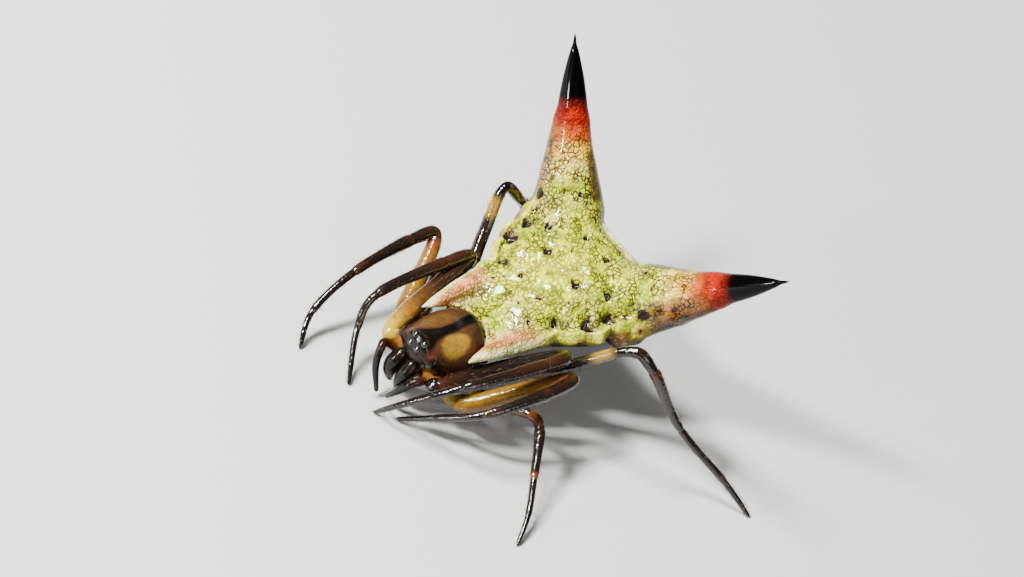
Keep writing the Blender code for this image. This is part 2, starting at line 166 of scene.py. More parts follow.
# Pits of the dorsum on both sides: distance from the midline, y, and the two half sizes
SIGILLA = (
    (1.18, 2.7, 0.17, 0.13), (0.47, 2.63, 0.1, 0.08), (0.65, 3.64, 0.17, 0.15),
    (1.37, 4.28, 0.16, 0.14), (0.44, 4.84, 0.12, 0.11), (1.76, 3.45, 0.25, 0.18),
    (1.9, 4.12, 0.22, 0.16), (0.82, 2.05, 0.08, 0.06), (0.2, 2.1, 0.07, 0.05),
    (1.02, 3.22, 0.06, 0.05), (0.27, 4.15, 0.05, 0.05), (1.5, 5.15, 0.09, 0.07),
    (0.8, 5.45, 0.08, 0.06),
)
SPINE_PIT = (2.38, 4.72, 3.88, 0.22)  # the dark oval low on each posterior spine: its place and reach

# Smooth, forward-leaning faces beside the pits, on both sides: distance from the midline, y, reach
POLISHED = (
    (0.38, 1.91, 0.2), (1.06, 3.05, 0.14), (0.79, 3.84, 0.13), (1.07, 4.61, 0.15),
    (1.52, 4.3, 0.1), (1.36, 2.62, 0.1),
)
POLISHED_SLOPE = 0.7

# Brown, ragged patches of the edge and the spines' roots, on both sides: place and reach
EDGE_DARK_PATCHES = (
    (1.83, 3.55, 3.0, 0.22), (1.86, 4.22, 3.45, 0.17), (2.37, 4.7, 3.8, 0.24),
    (2.08, 4.42, 3.57, 0.16), (2.97, 5.05, 4.55, 0.2), (3.18, 5.16, 5.0, 0.15),
    (1.52, 5.7, 4.7, 0.16), (1.95, 3.13, 2.8, 0.13), (2.54, 4.8, 3.35, 0.2),
    (2.27, 3.97, 3.02, 0.22), (2.62, 4.92, 4.28, 0.16),
)

# Low humps of the dorsum on both sides: distance from the midline, y, reach, height
HUMPS = (
    (0.95, 3.2, 0.34, 0.05), (0.55, 4.25, 0.32, 0.06), (1.75, 4.65, 0.3, 0.09),
    (0.95, 5.3, 0.3, 0.07), (1.85, 3.0, 0.15, 0.08), (2.1, 3.68, 0.17, 0.12),
    (2.15, 4.42, 0.16, 0.1), (1.5, 3.95, 0.2, 0.05), (1.46, 2.32, 0.16, 0.05),
    (0.8, 2.35, 0.22, 0.04), (0.36, 2.02, 0.24, 0.07), (1.3, 2.02, 0.26, 0.05),
)

# Lobes of the abdomen's edge: y, reach, and how far each stands out, or in where below 0
LOBES = (
    (2.3, 0.14, 0.04), (2.66, 0.12, -0.05), (3.02, 0.14, 0.05), (3.32, 0.09, -0.05),
    (3.66, 0.17, 0.1), (4.08, 0.11, -0.08), (4.44, 0.15, 0.07), (4.8, 0.1, -0.04),
)

# The swollen flank under each posterior spine's root, as x, y, z and radius
FLANK_SWELL = (
    (2.2, 4.4, 2.82, 0.26), (2.36, 4.9, 3.02, 0.33), (2.24, 5.35, 3.26, 0.3),
)

# The raised rim along the dorsum's rear, from side to side, as x, y, z and radius
REAR_RIM = (
    (-2.15, 5.66, 4.16, 0.12), (-1.3, 5.91, 3.84, 0.12), (0.0, 6.0, 3.7, 0.11),
    (1.3, 5.91, 3.84, 0.12), (2.15, 5.66, 4.16, 0.12),
)


def smooth_path(points, steps):
    """Places along a Catmull-Rom curve through the points, each with as many numbers as they have."""
    points = [np.array(p, float) for p in points]
    ends = [points[0], *points, points[-1]]
    path = []
    for a, b, c, d in zip(ends, ends[1:], ends[2:], ends[3:]):
        for k in range(steps):
            t = k / steps
            bend = (2 * a - 5 * b + 4 * c - d) * t**2 + (3 * b - a - 3 * c + d) * t**3
            path.append(0.5 * (2 * b + (c - a) * t + bend))
    path.append(points[-1])
    return np.array(path)


def stations(table, column, y):
    """One column of a table of stations, read smoothly at y."""
    dense = smooth_path(table, 8)
    return np.interp(y, dense[:, 0], dense[:, column])


def step_up(value, low, high):
    """0 below low, 1 above high, and smooth between."""
    t = np.clip((value - low) / (high - low), 0.0, 1.0)
    return t * t * (3 - 2 * t)


def smooth_min(a, b, reach):
    """The nearer of two distances, rounded where they meet."""
    h = np.clip(0.5 + 0.5 * (b - a) / reach, 0.0, 1.0)
    return b * (1 - h) + a * h - reach * h * (1 - h)


def smooth_max(a, b, reach):
    """The farther of two distances, rounded where they meet."""
    return -smooth_min(-a, -b, reach)


def bell(value, reach, power=2):
    """1 where a value is zero, falling to 0 on both sides of it."""
    return np.exp(-((value / reach) ** power))


def apart(*offsets):
    """How far apart two places are, from their offsets along each axis."""
    return np.sqrt(sum(offset**2 for offset in offsets))


def round_cone(x, y, z, start, end):
    """Distance to a round cone between two (x, y, z, radius) places."""
    ax, ay, az, ar = start
    bx, by, bz, br = end
    dx, dy, dz = bx - ax, by - ay, bz - az
    length_squared = dx * dx + dy * dy + dz * dz
    t = np.clip(((x - ax) * dx + (y - ay) * dy + (z - az) * dz) / length_squared, 0.0, 1.0)
    return apart(x - ax - dx * t, y - ay - dy * t, z - az - dz * t) - (ar + (br - ar) * t)


def chain(x, y, z, places):
    """Distance to a row of round cones."""
    return np.minimum.reduce([round_cone(x, y, z, a, b) for a, b in zip(places, places[1:])])


def blob(x, y, z, centre, radii):
    """Rough distance to an ellipsoid."""
    offsets = [(value - middle) / reach for value, middle, reach in zip((x, y, z), centre, radii)]
    return (apart(*offsets) - 1.0) * min(radii)


SPINE_AXIS = (Vector(POSTERIOR_TIP) - Vector(POSTERIOR_BASE)).normalized()
SPINE_TABLE = smooth_path(POSTERIOR_RADII, 6)

# The fuller lower side of the left posterior spine, as round cone places
SPINE_FULLNESS = [
    (*(Vector(POSTERIOR_BASE) + SPINE_AXIS * t + SPINE_LOWER * shift), radius)
    for t, shift, radius in SPINE_SWELL
]


def along_spine(x, y, z):
    """How far along the posterior spine's axis a place lies, and how far off it, on either side."""
    dx, dy, dz = np.abs(x) - POSTERIOR_BASE[0], y - POSTERIOR_BASE[1], z - POSTERIOR_BASE[2]
    ax, ay, az = SPINE_AXIS
    t = dx * ax + dy * ay + dz * az
    return t, apart(dx - ax * t, dy - ay * t, dz - az * t)


def spine_radius(t):
    """The posterior spine's radius at a distance along it."""
    return np.interp(t, *SPINE_TABLE.T)


def spine_field(x, y, z):
    """Distance to both posterior spines, up to where their tips take over."""
    t, off = along_spine(x, y, z)
    out = off - spine_radius(t)
    past = np.maximum(np.maximum(t - SKIN_END, SPINE_TABLE[0, 0] - t), 0.0)
    return apart(np.maximum(out, 0.0), past) + np.minimum(out, 0.0)


def carapace_field(x, y, z):
    """Distance to the carapace and sternum."""
    half, widest, top, under = (stations(CARAPACE, column, y) for column in (1, 2, 3, 4))
    height = np.where(z >= widest, top - widest, widest - under)
    body = (apart(x / half, (z - widest) / height) - 1.0) * np.minimum(half, height) * 0.9
    body = smooth_max(body, CARAPACE[0][0] - y, 0.06)
    return smooth_max(body, y - CARAPACE[-1][0], 0.2)


def margin_half(y):
    """Half width of the abdomen at the margin, with its lobes."""
    lobes = (out * bell(y - back, reach) for back, reach, out in LOBES)
    return sum(lobes, stations(ABDOMEN, 1, y))


def dorsum_height(x, y):
    """Height of the abdomen's upper face, without its relief."""
    half, margin, top = (stations(ABDOMEN, column, y) for column in (1, 2, 3))
    share = np.clip(np.abs(x) / half, 0.0, 1.0)
    return margin + (top - margin) * (1.0 - share**2.4)


def notch_field(x, y):
    """How far a place lies outside the notch, in plan."""
    across = np.abs(x) / NOTCH_HALF
    along = np.maximum(y - NOTCH_Y, 0.0) / NOTCH_LENGTH
    return (across**NOTCH_POWER + along**NOTCH_POWER) ** (1 / NOTCH_POWER) - 1.0


def wobble(x, y):
    """A place on the dorsum, pushed about a little so that what is drawn there has an uneven outline."""
    across = x + 0.03 * np.sin(17.0 * y + 3.0 * x) + 0.018 * np.sin(31.0 * y - 9.0 * x)
    along = y + 0.03 * np.sin(19.0 * x - 2.0 * y) + 0.018 * np.sin(29.0 * x + 11.0 * y)
    return np.abs(across), along


def pits_near(x, y):
    """For each pit, how far places lie from its middle, in its half sizes, and the smaller half size."""
    across_at, along_at = wobble(x, y)
    for across, back, wide, long in SIGILLA:
        yield apart((across_at - across) / wide, (along_at - back) / long), min(wide, long)


def relief(x, y):
    """The dorsum's swell, humps, pits, raised edge, grooves, front shelf and smooth faces."""
    side = np.abs(x)
    swell = np.sin(4.7 * x + 1.6 * np.sin(3.1 * y)) * np.sin(4.1 * y + 1.3 * np.sin(3.9 * x))
    ripple = np.sin(10.5 * x + 2.0 * np.sin(6.3 * y)) * np.sin(9.7 * y + 1.7 * np.sin(8.1 * x))
    height = SWELL_HEIGHT * swell + RIPPLE_HEIGHT * ripple
    for across, back, reach, tall in HUMPS:
        height = height + tall * bell(side - across, reach) * bell(y - back, reach)
    for away, size in pits_near(x, y):
        height = height + PIT_RIM * size * bell(away - 1.6, 0.5) - PIT_DEPTH * size * bell(away, 0.85, 4)
    edge = margin_half(y) - side
    height = height + EDGE_HEIGHT * bell(edge - 0.15, 0.1) * step_up(y, 1.6, 2.4)
    height = height - GUTTER_DEPTH * bell(edge - 0.42, 0.14) * step_up(y, 2.4, 3.0)
    for back, _, out in LOBES:
        if out < 0:
            height = height - GROOVE_DEPTH * bell(y - back, 0.1) * (1 - step_up(edge, 0.25, 0.5))
    shelf = (1 - step_up(y + 0.25 * side, 1.74, 2.06)) * bell(side, 1.02, 4)
    furrow = bell(x, 0.12) * (1 - step_up(y, 1.9, 2.4))
    height = height - SHELF_DEPTH * shelf - FURROW_DEPTH * furrow
    ground = dorsum_height(x, y)
    across_at, along_at = wobble(x, y)
    for across, back, reach in POLISHED:
        share = bell(apart(across_at - across, along_at - back), reach, 6)
        level = dorsum_height(across, back) + 0.02 + POLISHED_SLOPE * (y - back) - ground
        height = height * (1 - share) + level * share
    return height


def abdomen_field(x, y, z):
    """Distance to the abdomen with its four spines, rims and pits."""
    side = np.abs(x)
    margin = stations(ABDOMEN, 2, y)
    under = stations(ABDOMEN, 4, y)
    above = (z - dorsum_height(x, y) - relief(x, y)) * 0.9
    share = np.clip((margin - z) / (margin - under), 0.0, 1.0)
    width = margin_half(y) * (KEEL_SHARE + (1 - KEEL_SHARE) * (1 - share**1.2) ** 0.9)
    body = smooth_max(above, (side - width) * 0.85, 0.16)
    body = smooth_max(body, (under - z) * 0.8, 0.2)
    body = smooth_max(body, ABDOMEN[0][0] - y, 0.05)
    body = smooth_max(body, y - ABDOMEN[-1][0], 0.25)
    body = smooth_min(body, spine_field(x, y, z), 0.4)
    for places, reach in ((SPINE_FULLNESS, 0.25), (FLANK_SWELL, 0.22)):
        body = smooth_min(body, chain(side, y, z, places), reach)
    body = smooth_max(body, -notch_field(x, y), 0.07)
    body = smooth_min(body, chain(side, y, z, ANTERIOR_AXIS), 0.1)
    body = smooth_min(body, chain(x, y, z, REAR_RIM), 0.12)
    return smooth_max(body, CARAPACE_ROOM - carapace_field(x, y, z), 0.06)


CORNERS = np.array([(i, j, k) for i in (0, 1) for j in (0, 1) for k in (0, 1)])
CELL_EDGES = [
    (a, b) for a in range(8) for b in range(a + 1, 8) if np.abs(CORNERS[a] - CORNERS[b]).sum() == 1
]


def surface_of(field, low, high, step):
    """The surface where a field is zero, as points and four-sided faces, one point to each crossed cell."""
    axes = [np.arange(low[i], high[i] + step, step) for i in range(3)]
    shape = tuple(len(a) for a in axes)
    values = np.empty(shape, np.float32)
    for start in range(0, shape[0], 16):
        part = axes[0][start:start + 16]
        x, y, z = np.meshgrid(part, axes[1], axes[2], indexing="ij", sparse=True)
        values[start:start + 16] = field(x, y, z)
    inside = values < 0
    counts = np.zeros(tuple(n - 1 for n in shape), np.uint8)
    for i, j, k in CORNERS:
        counts += inside[i:shape[0] - 1 + i, j:shape[1] - 1 + j, k:shape[2] - 1 + k]
    cells = np.argwhere((counts > 0) & (counts < 8))
    index = np.full(counts.shape, -1, np.int64)
    index[tuple(cells.T)] = np.arange(len(cells))
    corner = [values[tuple((cells + c).T)] for c in CORNERS]
    total = np.zeros((len(cells), 3))
    crossed = np.zeros(len(cells))
    for a, b in CELL_EDGES:
        cut = (corner[a] < 0) != (corner[b] < 0)
        share = np.where(cut, corner[a] / np.where(cut, corner[a] - corner[b], 1.0), 0.0)
        spot = CORNERS[a] + share[:, None] * (CORNERS[b] - CORNERS[a])
        total += spot * cut[:, None]
        crossed += cut
    points = np.array(low) + (cells + total / crossed[:, None]) * step
    faces = []
    for axis in range(3):
        second, third = (axis + 1) % 3, (axis + 2) % 3
        change = np.argwhere(np.diff(inside, axis=axis))
        over = np.eye(3, dtype=int)
        ring = [change - over[second] - over[third], change - over[third], change, change - over[second]]
        quad = np.stack([index[tuple(r.T)] for r in ring], axis=1)
        outward = inside[tuple(change.T)]
        faces.append(np.where(outward[:, None], quad, quad[:, ::-1]))
    return settle(points, field, step), np.concatenate(faces)


def slope_of(field, points, reach=0.01):
    """The field's gradient at points."""
    slope = np.empty_like(points)
    for axis in range(3):
        ahead, behind = points.copy(), points.copy()
        ahead[:, axis] += reach
        behind[:, axis] -= reach
        slope[:, axis] = (field(*ahead.T) - field(*behind.T)) / (2 * reach)
    return slope


def settle(points, field, step):
    """Moves points onto the field's zero surface."""
    for _ in range(2):
        slope = slope_of(field, points)
        size = np.maximum((slope**2).sum(1), 0.05)
        move = -slope * (field(*points.T) / size)[:, None]
        length = np.maximum(np.sqrt((move**2).sum(1)), 1e-9)
        points = points + move * np.minimum(1.0, 0.5 * step / length)[:, None]
    return points


def new_piece(name, shape, material, **layers):
    """A mesh object from points in the animal's millimetres and faces, with its colour layers by name."""
    points, faces = shape
    mesh = bpy.data.meshes.new(name)
    spots = np.asarray(points, float) * MM + np.array(ORIGIN)
    mesh.from_pydata(spots.tolist(), [], [list(map(int, face)) for face in faces])
    mesh.update()
    mesh.shade_smooth()
    for layer, values in layers.items():
        values = np.asarray(values, np.float32) * (PAINT_SHARE if layer == "base" else 1.0)
        values = np.concatenate([values, np.ones((len(values), 1), np.float32)], axis=1)
        mesh.attributes.new(layer, "FLOAT_COLOR", "POINT").data.foreach_set("color", values.ravel())
    mesh.materials.append(material)
    piece = bpy.data.objects.new(name, mesh)
    bpy.context.scene.collection.objects.link(piece)
    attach(piece, "root")
    return piece


def painted(ground, *coats):
    """A colour for each point: the ground, under coats that each have a colour and a share."""
    colour = np.array(ground)
    for tint, share in coats:
        colour = colour * (1 - share[:, None]) + np.array(tint) * share[:, None]
    return colour


# Colours as linear RGB. new_piece() keeps this share of the painted ones, and the lights make up for it, so
# that the highlights stand out as they do on wet-looking cuticle.
PAINT_SHARE = 0.64
WHITE = (1.0, 1.0, 1.0)
JET = (0.001, 0.001, 0.001)

# The abdomen and its front spines
LIME = (0.52, 0.62, 0.012)
CREAM = (0.9, 0.91, 0.02)
PALE_RIM = (0.88, 0.88, 0.06)
IVORY = (0.95, 0.88, 0.42)
APRICOT = (0.95, 0.62, 0.25)
PINK = (0.88, 0.3, 0.1)
LIP_BROWN = (0.3, 0.16, 0.05)
# Brown of the side wall under the raised edge: partly its own colour, partly painted shade
SKIRT_BROWN_AND_SHADE = (0.28, 0.085, 0.012)
EDGE_PATCH_BROWN = (0.22, 0.085, 0.016)
# Painted shade for the gutter inside the raised edge
GUTTER_SHADE_BROWN = (0.11, 0.045, 0.01)
PIT_EDGE = (0.2, 0.1, 0.035)
PIT_BLACK = (0.01, 0.005, 0.004)
NET_BROWN = (0.05, 0.032, 0.02)
MOTTLE = (0.42, 0.47, 0.3)
MUSTARD = (0.52, 0.4, 0.12)
FLANK = (0.04, 0.015, 0.006)
FLANK_SPOT = (0.28, 0.2, 0.03)

# The posterior spines' bands: colour, and where along the spine each one comes in
ORANGE_RED = (0.35, 0.009, 0.0002)
SPINE_BANDS = (
    ((0.86, 0.7, 0.13), 0.8, 1.5),
    ((0.96, 0.55, 0.05), 1.3, 1.9),
    ((0.66, 0.1, 0.006), 1.9, 2.35),
    (ORANGE_RED, 2.2, 2.75),
    ((0.0008, 0.0007, 0.0006), 2.8, 3.45),
)

# Their darker lower, outer and inner sides, partly the spines' own brown underneath and partly painted shade
# on the sides turned away from the light: colour, the way each side faces, how squarely a place has to face
# that way, and where along the spine the colour comes in and goes out
SPINE_BROWN_AND_SHADE = (
    ((0.36, 0.085, 0.01), (0.62, -0.58, -0.53), (0.35, 0.9), (0.3, 1.0), (2.4, 3.0)),
    ((0.085, 0.022, 0.006), (0.5, 0.3, -0.81), (0.15, 0.6), (0.2, 0.7), (2.5, 2.9)),
    ((0.1, 0.035, 0.01), (-0.7, 0.45, 0.55), (0.72, 0.9), (0.35, 0.6), (1.7, 2.2)),
)
SPINE_BROWN_AND_SHADE_SHARE = 0.85

# The carapace, sternum and coxae
CARAPACE_BROWN = (0.062, 0.027, 0.009)
TAN = (0.28, 0.15, 0.02)
HIND_BROWN = (0.03, 0.015, 0.008)
FRONT_BROWN = (0.1, 0.034, 0.018)
MARGIN_BROWN = (0.016, 0.008, 0.005)
MOUND_BROWN = (0.012, 0.004, 0.003)
FACE_BROWN = (0.008, 0.004, 0.003)
COXA_BROWN = (0.22, 0.095, 0.018)
STERNUM_BROWN = (0.03, 0.013, 0.008)

# Small parts and surroundings
HORN_SHADE = (0.6, 0.6, 0.6)
CUTICLE_SHADE = (0.55, 0.52, 0.5)
LENS_BROWN = (0.005, 0.003, 0.002)
BRISTLE_BROWN = (0.018, 0.01, 0.007)
BRISTLE_GLINT = (0.1, 0.06, 0.035)
FANG_RED = (0.08, 0.02, 0.008)
SPINNERET_BROWN = (0.07, 0.03, 0.018)
FLOOR_GREY = (0.4, 0.4, 0.39)
SURROUND = (0.92, 0.95, 1.0)

# How far light scatters under a skin, in millimetres, and how far each of its colours goes
SCATTER_MM = 0.1
SCATTER_SHARES = (1.0, 0.6, 0.3)


class Nodes:
    """Short ways to build a material's nodes."""

    def __init__(self, name):
        self.material = bpy.data.materials.new(name)
        self.material.use_nodes = True
        self.tree = self.material.node_tree
        self.place = self.node("TexCoord", {})["Object"]

    def put(self, socket, value):
        """Gives a socket a number, a colour, a vector or another node's output."""
        if isinstance(value, tuple):
            socket.default_value = (*value, 1.0) if socket.type == "RGBA" else value
        elif isinstance(value, (int, float)):
            socket.default_value = value
        else:
            self.tree.links.new(value, socket)

    def node(self, kind, inputs, **settings):
        """The outputs of a new node."""
        node = self.tree.nodes.new("ShaderNode" + kind)
        for key, value in settings.items():
            setattr(node, key, value)
        for key, value in inputs.items():
            self.put(node.inputs[key], value)
        return node.outputs

    def attribute(self, name):
        return self.node("Attribute", {}, attribute_name=name)["Color"]

    def parts(self, colour):
        return self.node("SeparateColor", {"Color": colour})[:3]

    def math(self, operation, *values):
        return self.node("Math", dict(enumerate(values)), operation=operation)["Value"]

    def times(self, product, *factors):
        for factor in factors:
            product = self.math("MULTIPLY", product, factor)
        return product

    def ramp(self, value, low, high, start=0.0, end=1.0):
        inputs = {"Value": value, "From Min": low, "From Max": high, "To Min": start, "To Max": end}
        return self.node("MapRange", inputs, interpolation_type="SMOOTHSTEP")["Result"]

    def noise(self, cell_mm, detail, output="Fac"):
        inputs = {"Scale": 1.0 / (cell_mm * MM), "Detail": detail, "Vector": self.place}
        return self.node("TexNoise", inputs)[output]

    def clouds(self, cell_mm, detail, *levels):
        """Noise read through a ramp."""
        return self.ramp(self.noise(cell_mm, detail), *levels)

    def voronoi(self, cell_mm, feature, place=None):
        inputs = {"Scale": 1.0 / (cell_mm * MM), "Vector": place or self.place}
        return self.node("TexVoronoi", inputs, feature=feature)["Distance"]

    def warped(self, cell_mm, amount_mm):
        """The object's coordinates, pushed about by noise."""
        inputs = {0: self.noise(cell_mm, 2.0, "Color"), 1: (amount_mm * MM * 2,) * 3, 2: self.place}
        return self.node("VectorMath", inputs, operation="MULTIPLY_ADD")["Vector"]

    def mix(self, first, second, share, mode="MIX"):
        return self.node("Mix", {0: share, 6: first, 7: second}, data_type="RGBA", blend_type=mode)[2]

    def bump(self, height, distance_mm, strength=1.0, normal=None):
        inputs = {"Height": height, "Distance": distance_mm * MM, "Strength": strength}
        if normal:
            inputs["Normal"] = normal
        return self.node("Bump", inputs)["Normal"]

    def finish(self, colour, roughness, specular, coat=0.0, coat_roughness=0.1, subsurface=0.0, **normals):
        """The finished material, from its colour, its numbers and its normals."""
        inputs = {
            "Base Color": colour,
            "Roughness": roughness,
            "Specular IOR Level": specular,
            "Coat Weight": coat,
            "Coat Roughness": coat_roughness,
            "Subsurface Weight": subsurface,
            "Subsurface Scale": SCATTER_MM * MM,
            "Subsurface Radius": SCATTER_SHARES,
        }
        inputs.update({key.replace("_", " ").title(): value for key, value in normals.items()})
        for key, value in inputs.items():
            self.put(self.tree.nodes["Principled BSDF"].inputs[key], value)
        return self.material


def abdomen_material():
    """Glossy cuticle: a dark net over lime and cream, dark pits, painted shade in the edge's creases, and
    brown flanks with pale spots.
    """
    made = Nodes("abdomen_cuticle")
    net, pit, flank = made.parts(made.attribute("masks"))
    warped = made.warped(0.13, 0.065)
    cells = made.voronoi(0.14, "DISTANCE_TO_EDGE", warped)
    fine_cells = made.voronoi(0.07, "DISTANCE_TO_EDGE", warped)
    fine = made.times(made.ramp(fine_cells, 0.03, 0.13, 0.8, 0.0), made.clouds(0.5, 3.0, 0.42, 0.58))
    lines = made.math("MAXIMUM", made.ramp(cells, 0.03, 0.15, 1.0, 0.0), fine)
    lines = made.times(lines, made.clouds(0.38, 4.0, 0.37, 0.54, 0.1, 1.0), net)
    dots = made.ramp(made.voronoi(0.085, "F1", warped), 0.14, 0.26, 1.0, 0.0)
    dots = made.times(dots, made.clouds(0.33, 2.0, 0.46, 0.58), net)
    tone = made.mix(MOTTLE, WHITE, made.clouds(0.34, 5.0, 0.36, 0.62))
    colour = made.mix(made.attribute("base"), tone, 0.9, "MULTIPLY")
    colour = made.mix(colour, MUSTARD, made.times(made.clouds(0.75, 2.0, 0.48, 0.66, 0.0, 0.3), net))
    colour = made.mix(colour, NET_BROWN, made.math("MAXIMUM", lines, dots), "MULTIPLY")
    spots = made.ramp(made.voronoi(0.34, "F1", warped), 0.2, 0.34, 1.0, 0.0)
    colour = made.mix(colour, made.mix(FLANK, FLANK_SPOT, made.times(spots, 0.7)), flank)
    ragged = made.math("ADD", pit, made.times(made.noise(0.1, 4.0), 1.1))
    # The pit mask darkens the pits and dark patches, and lays painted shade in the edge's creases
    colour = made.mix(colour, PIT_BLACK, made.ramp(ragged, 0.98, 1.24))
    grain = made.bump(made.noise(0.045, 4.0), 0.007)
    return made.finish(
        colour,
        roughness=0.38,
        specular=0.04,
        coat=made.math("MULTIPLY_ADD", net, 0.42, 0.1),
        coat_roughness=0.05,
        subsurface=0.06,
        normal=made.bump(made.ramp(cells, 0.0, 0.22), 0.028, normal=grain),
        coat_normal=made.bump(made.noise(0.5, 1.0), 0.008),
    )


def spine_facing(x, y, z, t, direction, low, high):
    """How far a place lies on one side of its posterior spine, 0 to 1."""
    centre = np.array(POSTERIOR_BASE) + t[:, None] * np.array(SPINE_AXIS)
    away = np.stack([np.abs(x), y, z], axis=1) - centre
    away /= np.maximum(np.sqrt((away**2).sum(1)), 1e-6)[:, None]
    return step_up(away @ np.array(direction), low, high)


def spine_paint(colour, t):
    """The posterior spine's bands, by distance along it."""
    return painted(colour, *((tint, step_up(t, start, end)) for tint, start, end in SPINE_BANDS))


def dorsal_paint(points):
    """Base colour and masks (net, pit, flank) of the abdomen at each point, with painted shade in the gutter
    and creases, and partly on the spines' sides and the wall under the edge.
    """
    x, y, z = points.T
    side = np.abs(x)
    edge = margin_half(y) - side
    rise = z - dorsum_height(x, y)
    drop = stations(ABDOMEN, 2, y) - z
    t, _ = along_spine(x, y, z)
    off_spine = 1 - step_up(t, 0.35, 1.05)
    upper = step_up(rise, -0.35, -0.12) * off_spine
    centre = bell(x, 0.9) * bell(y - 3.4, 1.4)
    drift = np.sin(2.3 * x + 1.3 * np.sin(1.9 * y)) * np.sin(2.1 * y + 1.1 * np.sin(2.6 * x))
    rim = (1 - step_up(edge, 0.16, 0.29)) * step_up(y, 1.7, 2.4) * upper
    rear = step_up(y, 5.7, 5.9) * step_up(rise, -0.25, 0.02) * (0.3 + 0.7 * off_spine)
    front = 1 - step_up(y, 1.5, 2.5)
    pink = front * bell(edge - 0.36, 0.23) * step_up(side, 0.45, 0.8)
    outer = front * (1 - step_up(edge, 0.06, 0.2))
    lip = (1 - step_up(notch_field(x, y), 0.02, 0.13)) * step_up(y, 0.3, 0.8)
    colour = painted(
        LIME,
        (CREAM, np.clip(0.22 + 0.62 * centre + 0.3 * drift, 0.0, 1.0)),
        (PALE_RIM, rim),
        (IVORY, rear),
        (APRICOT, 0.75 * front * step_up(side, 0.3, 0.85)),
        (PINK, 0.95 * pink),
        (IVORY, 0.92 * outer),
        (IVORY, 0.9 * (1 - step_up(y, -0.02, 0.3))),
        (LIP_BROWN, 0.6 * lip),
    )
    colour = spine_paint(colour, t)
    # The spines' darker sides: partly their own brown, partly painted shade on the sides turned from the
    # light
    for tint, direction, facing, start, end in SPINE_BROWN_AND_SHADE:
        share = spine_facing(x, y, z, t, direction, *facing) * step_up(t, *start) * (1 - step_up(t, *end))
        colour = painted(colour, (tint, SPINE_BROWN_AND_SHADE_SHARE * share))
    # The side wall under the raised edge, in folds: partly its own brown, partly painted shade under the
    # overhang
    folds = step_up(np.sin(6.1 * y + 0.8) + 0.5 * np.sin(14.3 * y), -0.3, 0.7)
    skirt_and_shade = step_up(drop, -0.12, 0.06) * step_up(y, 2.7, 3.3) * (1 - step_up(t, 0.6, 1.2))
    colour = painted(colour, (SKIRT_BROWN_AND_SHADE, skirt_and_shade * (0.25 + 0.6 * folds)))
    pit = np.zeros(len(x))
    for away, _ in pits_near(x, y):
        pit = np.maximum(pit, 1 - step_up(away, 0.45, 1.15))
        colour = painted(colour, (PIT_EDGE, (1 - step_up(away, 0.9, 1.75)) * (0.35 + 0.25 * drift)))
    pit *= step_up(rise, -0.55, -0.3)
    *middle, reach = SPINE_PIT
    away = apart(side - middle[0], y - middle[1], z - middle[2]) / reach
    pit = np.maximum(pit, 1 - step_up(away, 0.4, 1.3))
    # Darker brown, ragged patches at the edge and the spines' roots, also darkened through the pit mask
    for across, back, high, reach in EDGE_DARK_PATCHES:
        share = 1 - step_up(apart(side - across, y - back, z - high) / reach, 0.3, 1.3)
        colour = painted(colour, (EDGE_PATCH_BROWN, 0.8 * share))
        pit = np.maximum(pit, 0.56 * share)
    # Patchy painted shade in the gutter inside the raised edge
    patchy = step_up(np.sin(5.3 * y + 1.2) + 0.5 * np.sin(12.1 * y + 2.0 * x), -0.2, 0.9)
    gutter_shade = bell(edge - 0.42, 0.13) * step_up(y, 2.5, 2.9) * upper
    colour = painted(colour, (GUTTER_SHADE_BROWN, 0.75 * gutter_shade * patchy))
    # Painted shade in the creases between the edge's lobes, laid on through the pit mask
    crease_shade = step_up(edge, 0.05, 0.15) * (1 - step_up(edge, 0.22, 0.45)) * step_up(rise, -0.6, -0.3)
    for back, _, out in LOBES:
        if out < 0:
            pit = np.maximum(pit, 0.45 * bell(y - back, 0.05) * crease_shade * off_spine)
    net = (1 - 0.9 * np.maximum(rim, rear)) * (1 - 0.9 * outer) * (1 - 0.45 * pink) * (1 - 0.35 * centre)
    net *= (1 - step_up(t, 2.0, 2.7)) * step_up(y, 0.1, 0.6)
    flank = step_up(drop, 0.14, 0.34) * (1 - step_up(t, 0.2, 0.9)) * step_up(y, 0.9, 1.5)
    return colour, np.stack([net, pit, flank], axis=1)


ABDOMEN_BOX = ((-4.6, -0.35, 0.8), (4.6, 6.8, 6.7))
ABDOMEN_STEP = 0.036


def make_abdomen():
    """One skin over the abdomen and its four spines."""
    shape = surface_of(abdomen_field, *ABDOMEN_BOX, ABDOMEN_STEP)
    colour, masks = dorsal_paint(shape[0])
    skin = new_piece("abdomen_skin", shape, abdomen_material(), base=colour, masks=masks)
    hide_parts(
        "abdomen",
        "posterior_spine_left",
        "posterior_spine_right",
        "anterior_spine_left",
        "anterior_spine_right",
    )


def tip_material():
    """Polished horn, red at its root and black to the point."""
    made = Nodes("spine_tip_horn")
    shade = made.mix(HORN_SHADE, WHITE, made.clouds(0.1, 4.0, 0.3, 0.7))
    colour = made.mix(made.attribute("base"), shade, 0.7, "MULTIPLY")
    grain = made.bump(made.noise(0.06, 3.0), 0.003)
    return made.finish(colour, roughness=0.22, specular=0.02, coat=0.16, coat_roughness=0.05, normal=grain)


# The horn's rings: where they start to stand closer, where they end, and the steps before and after
TIP_NARROWS = 4.7
TIP_END = 5.15
TIP_STEPS = (0.05, 0.02)
TIP_LEAST_RADIUS = 0.006
TIP_OVER_SKIN = 0.004


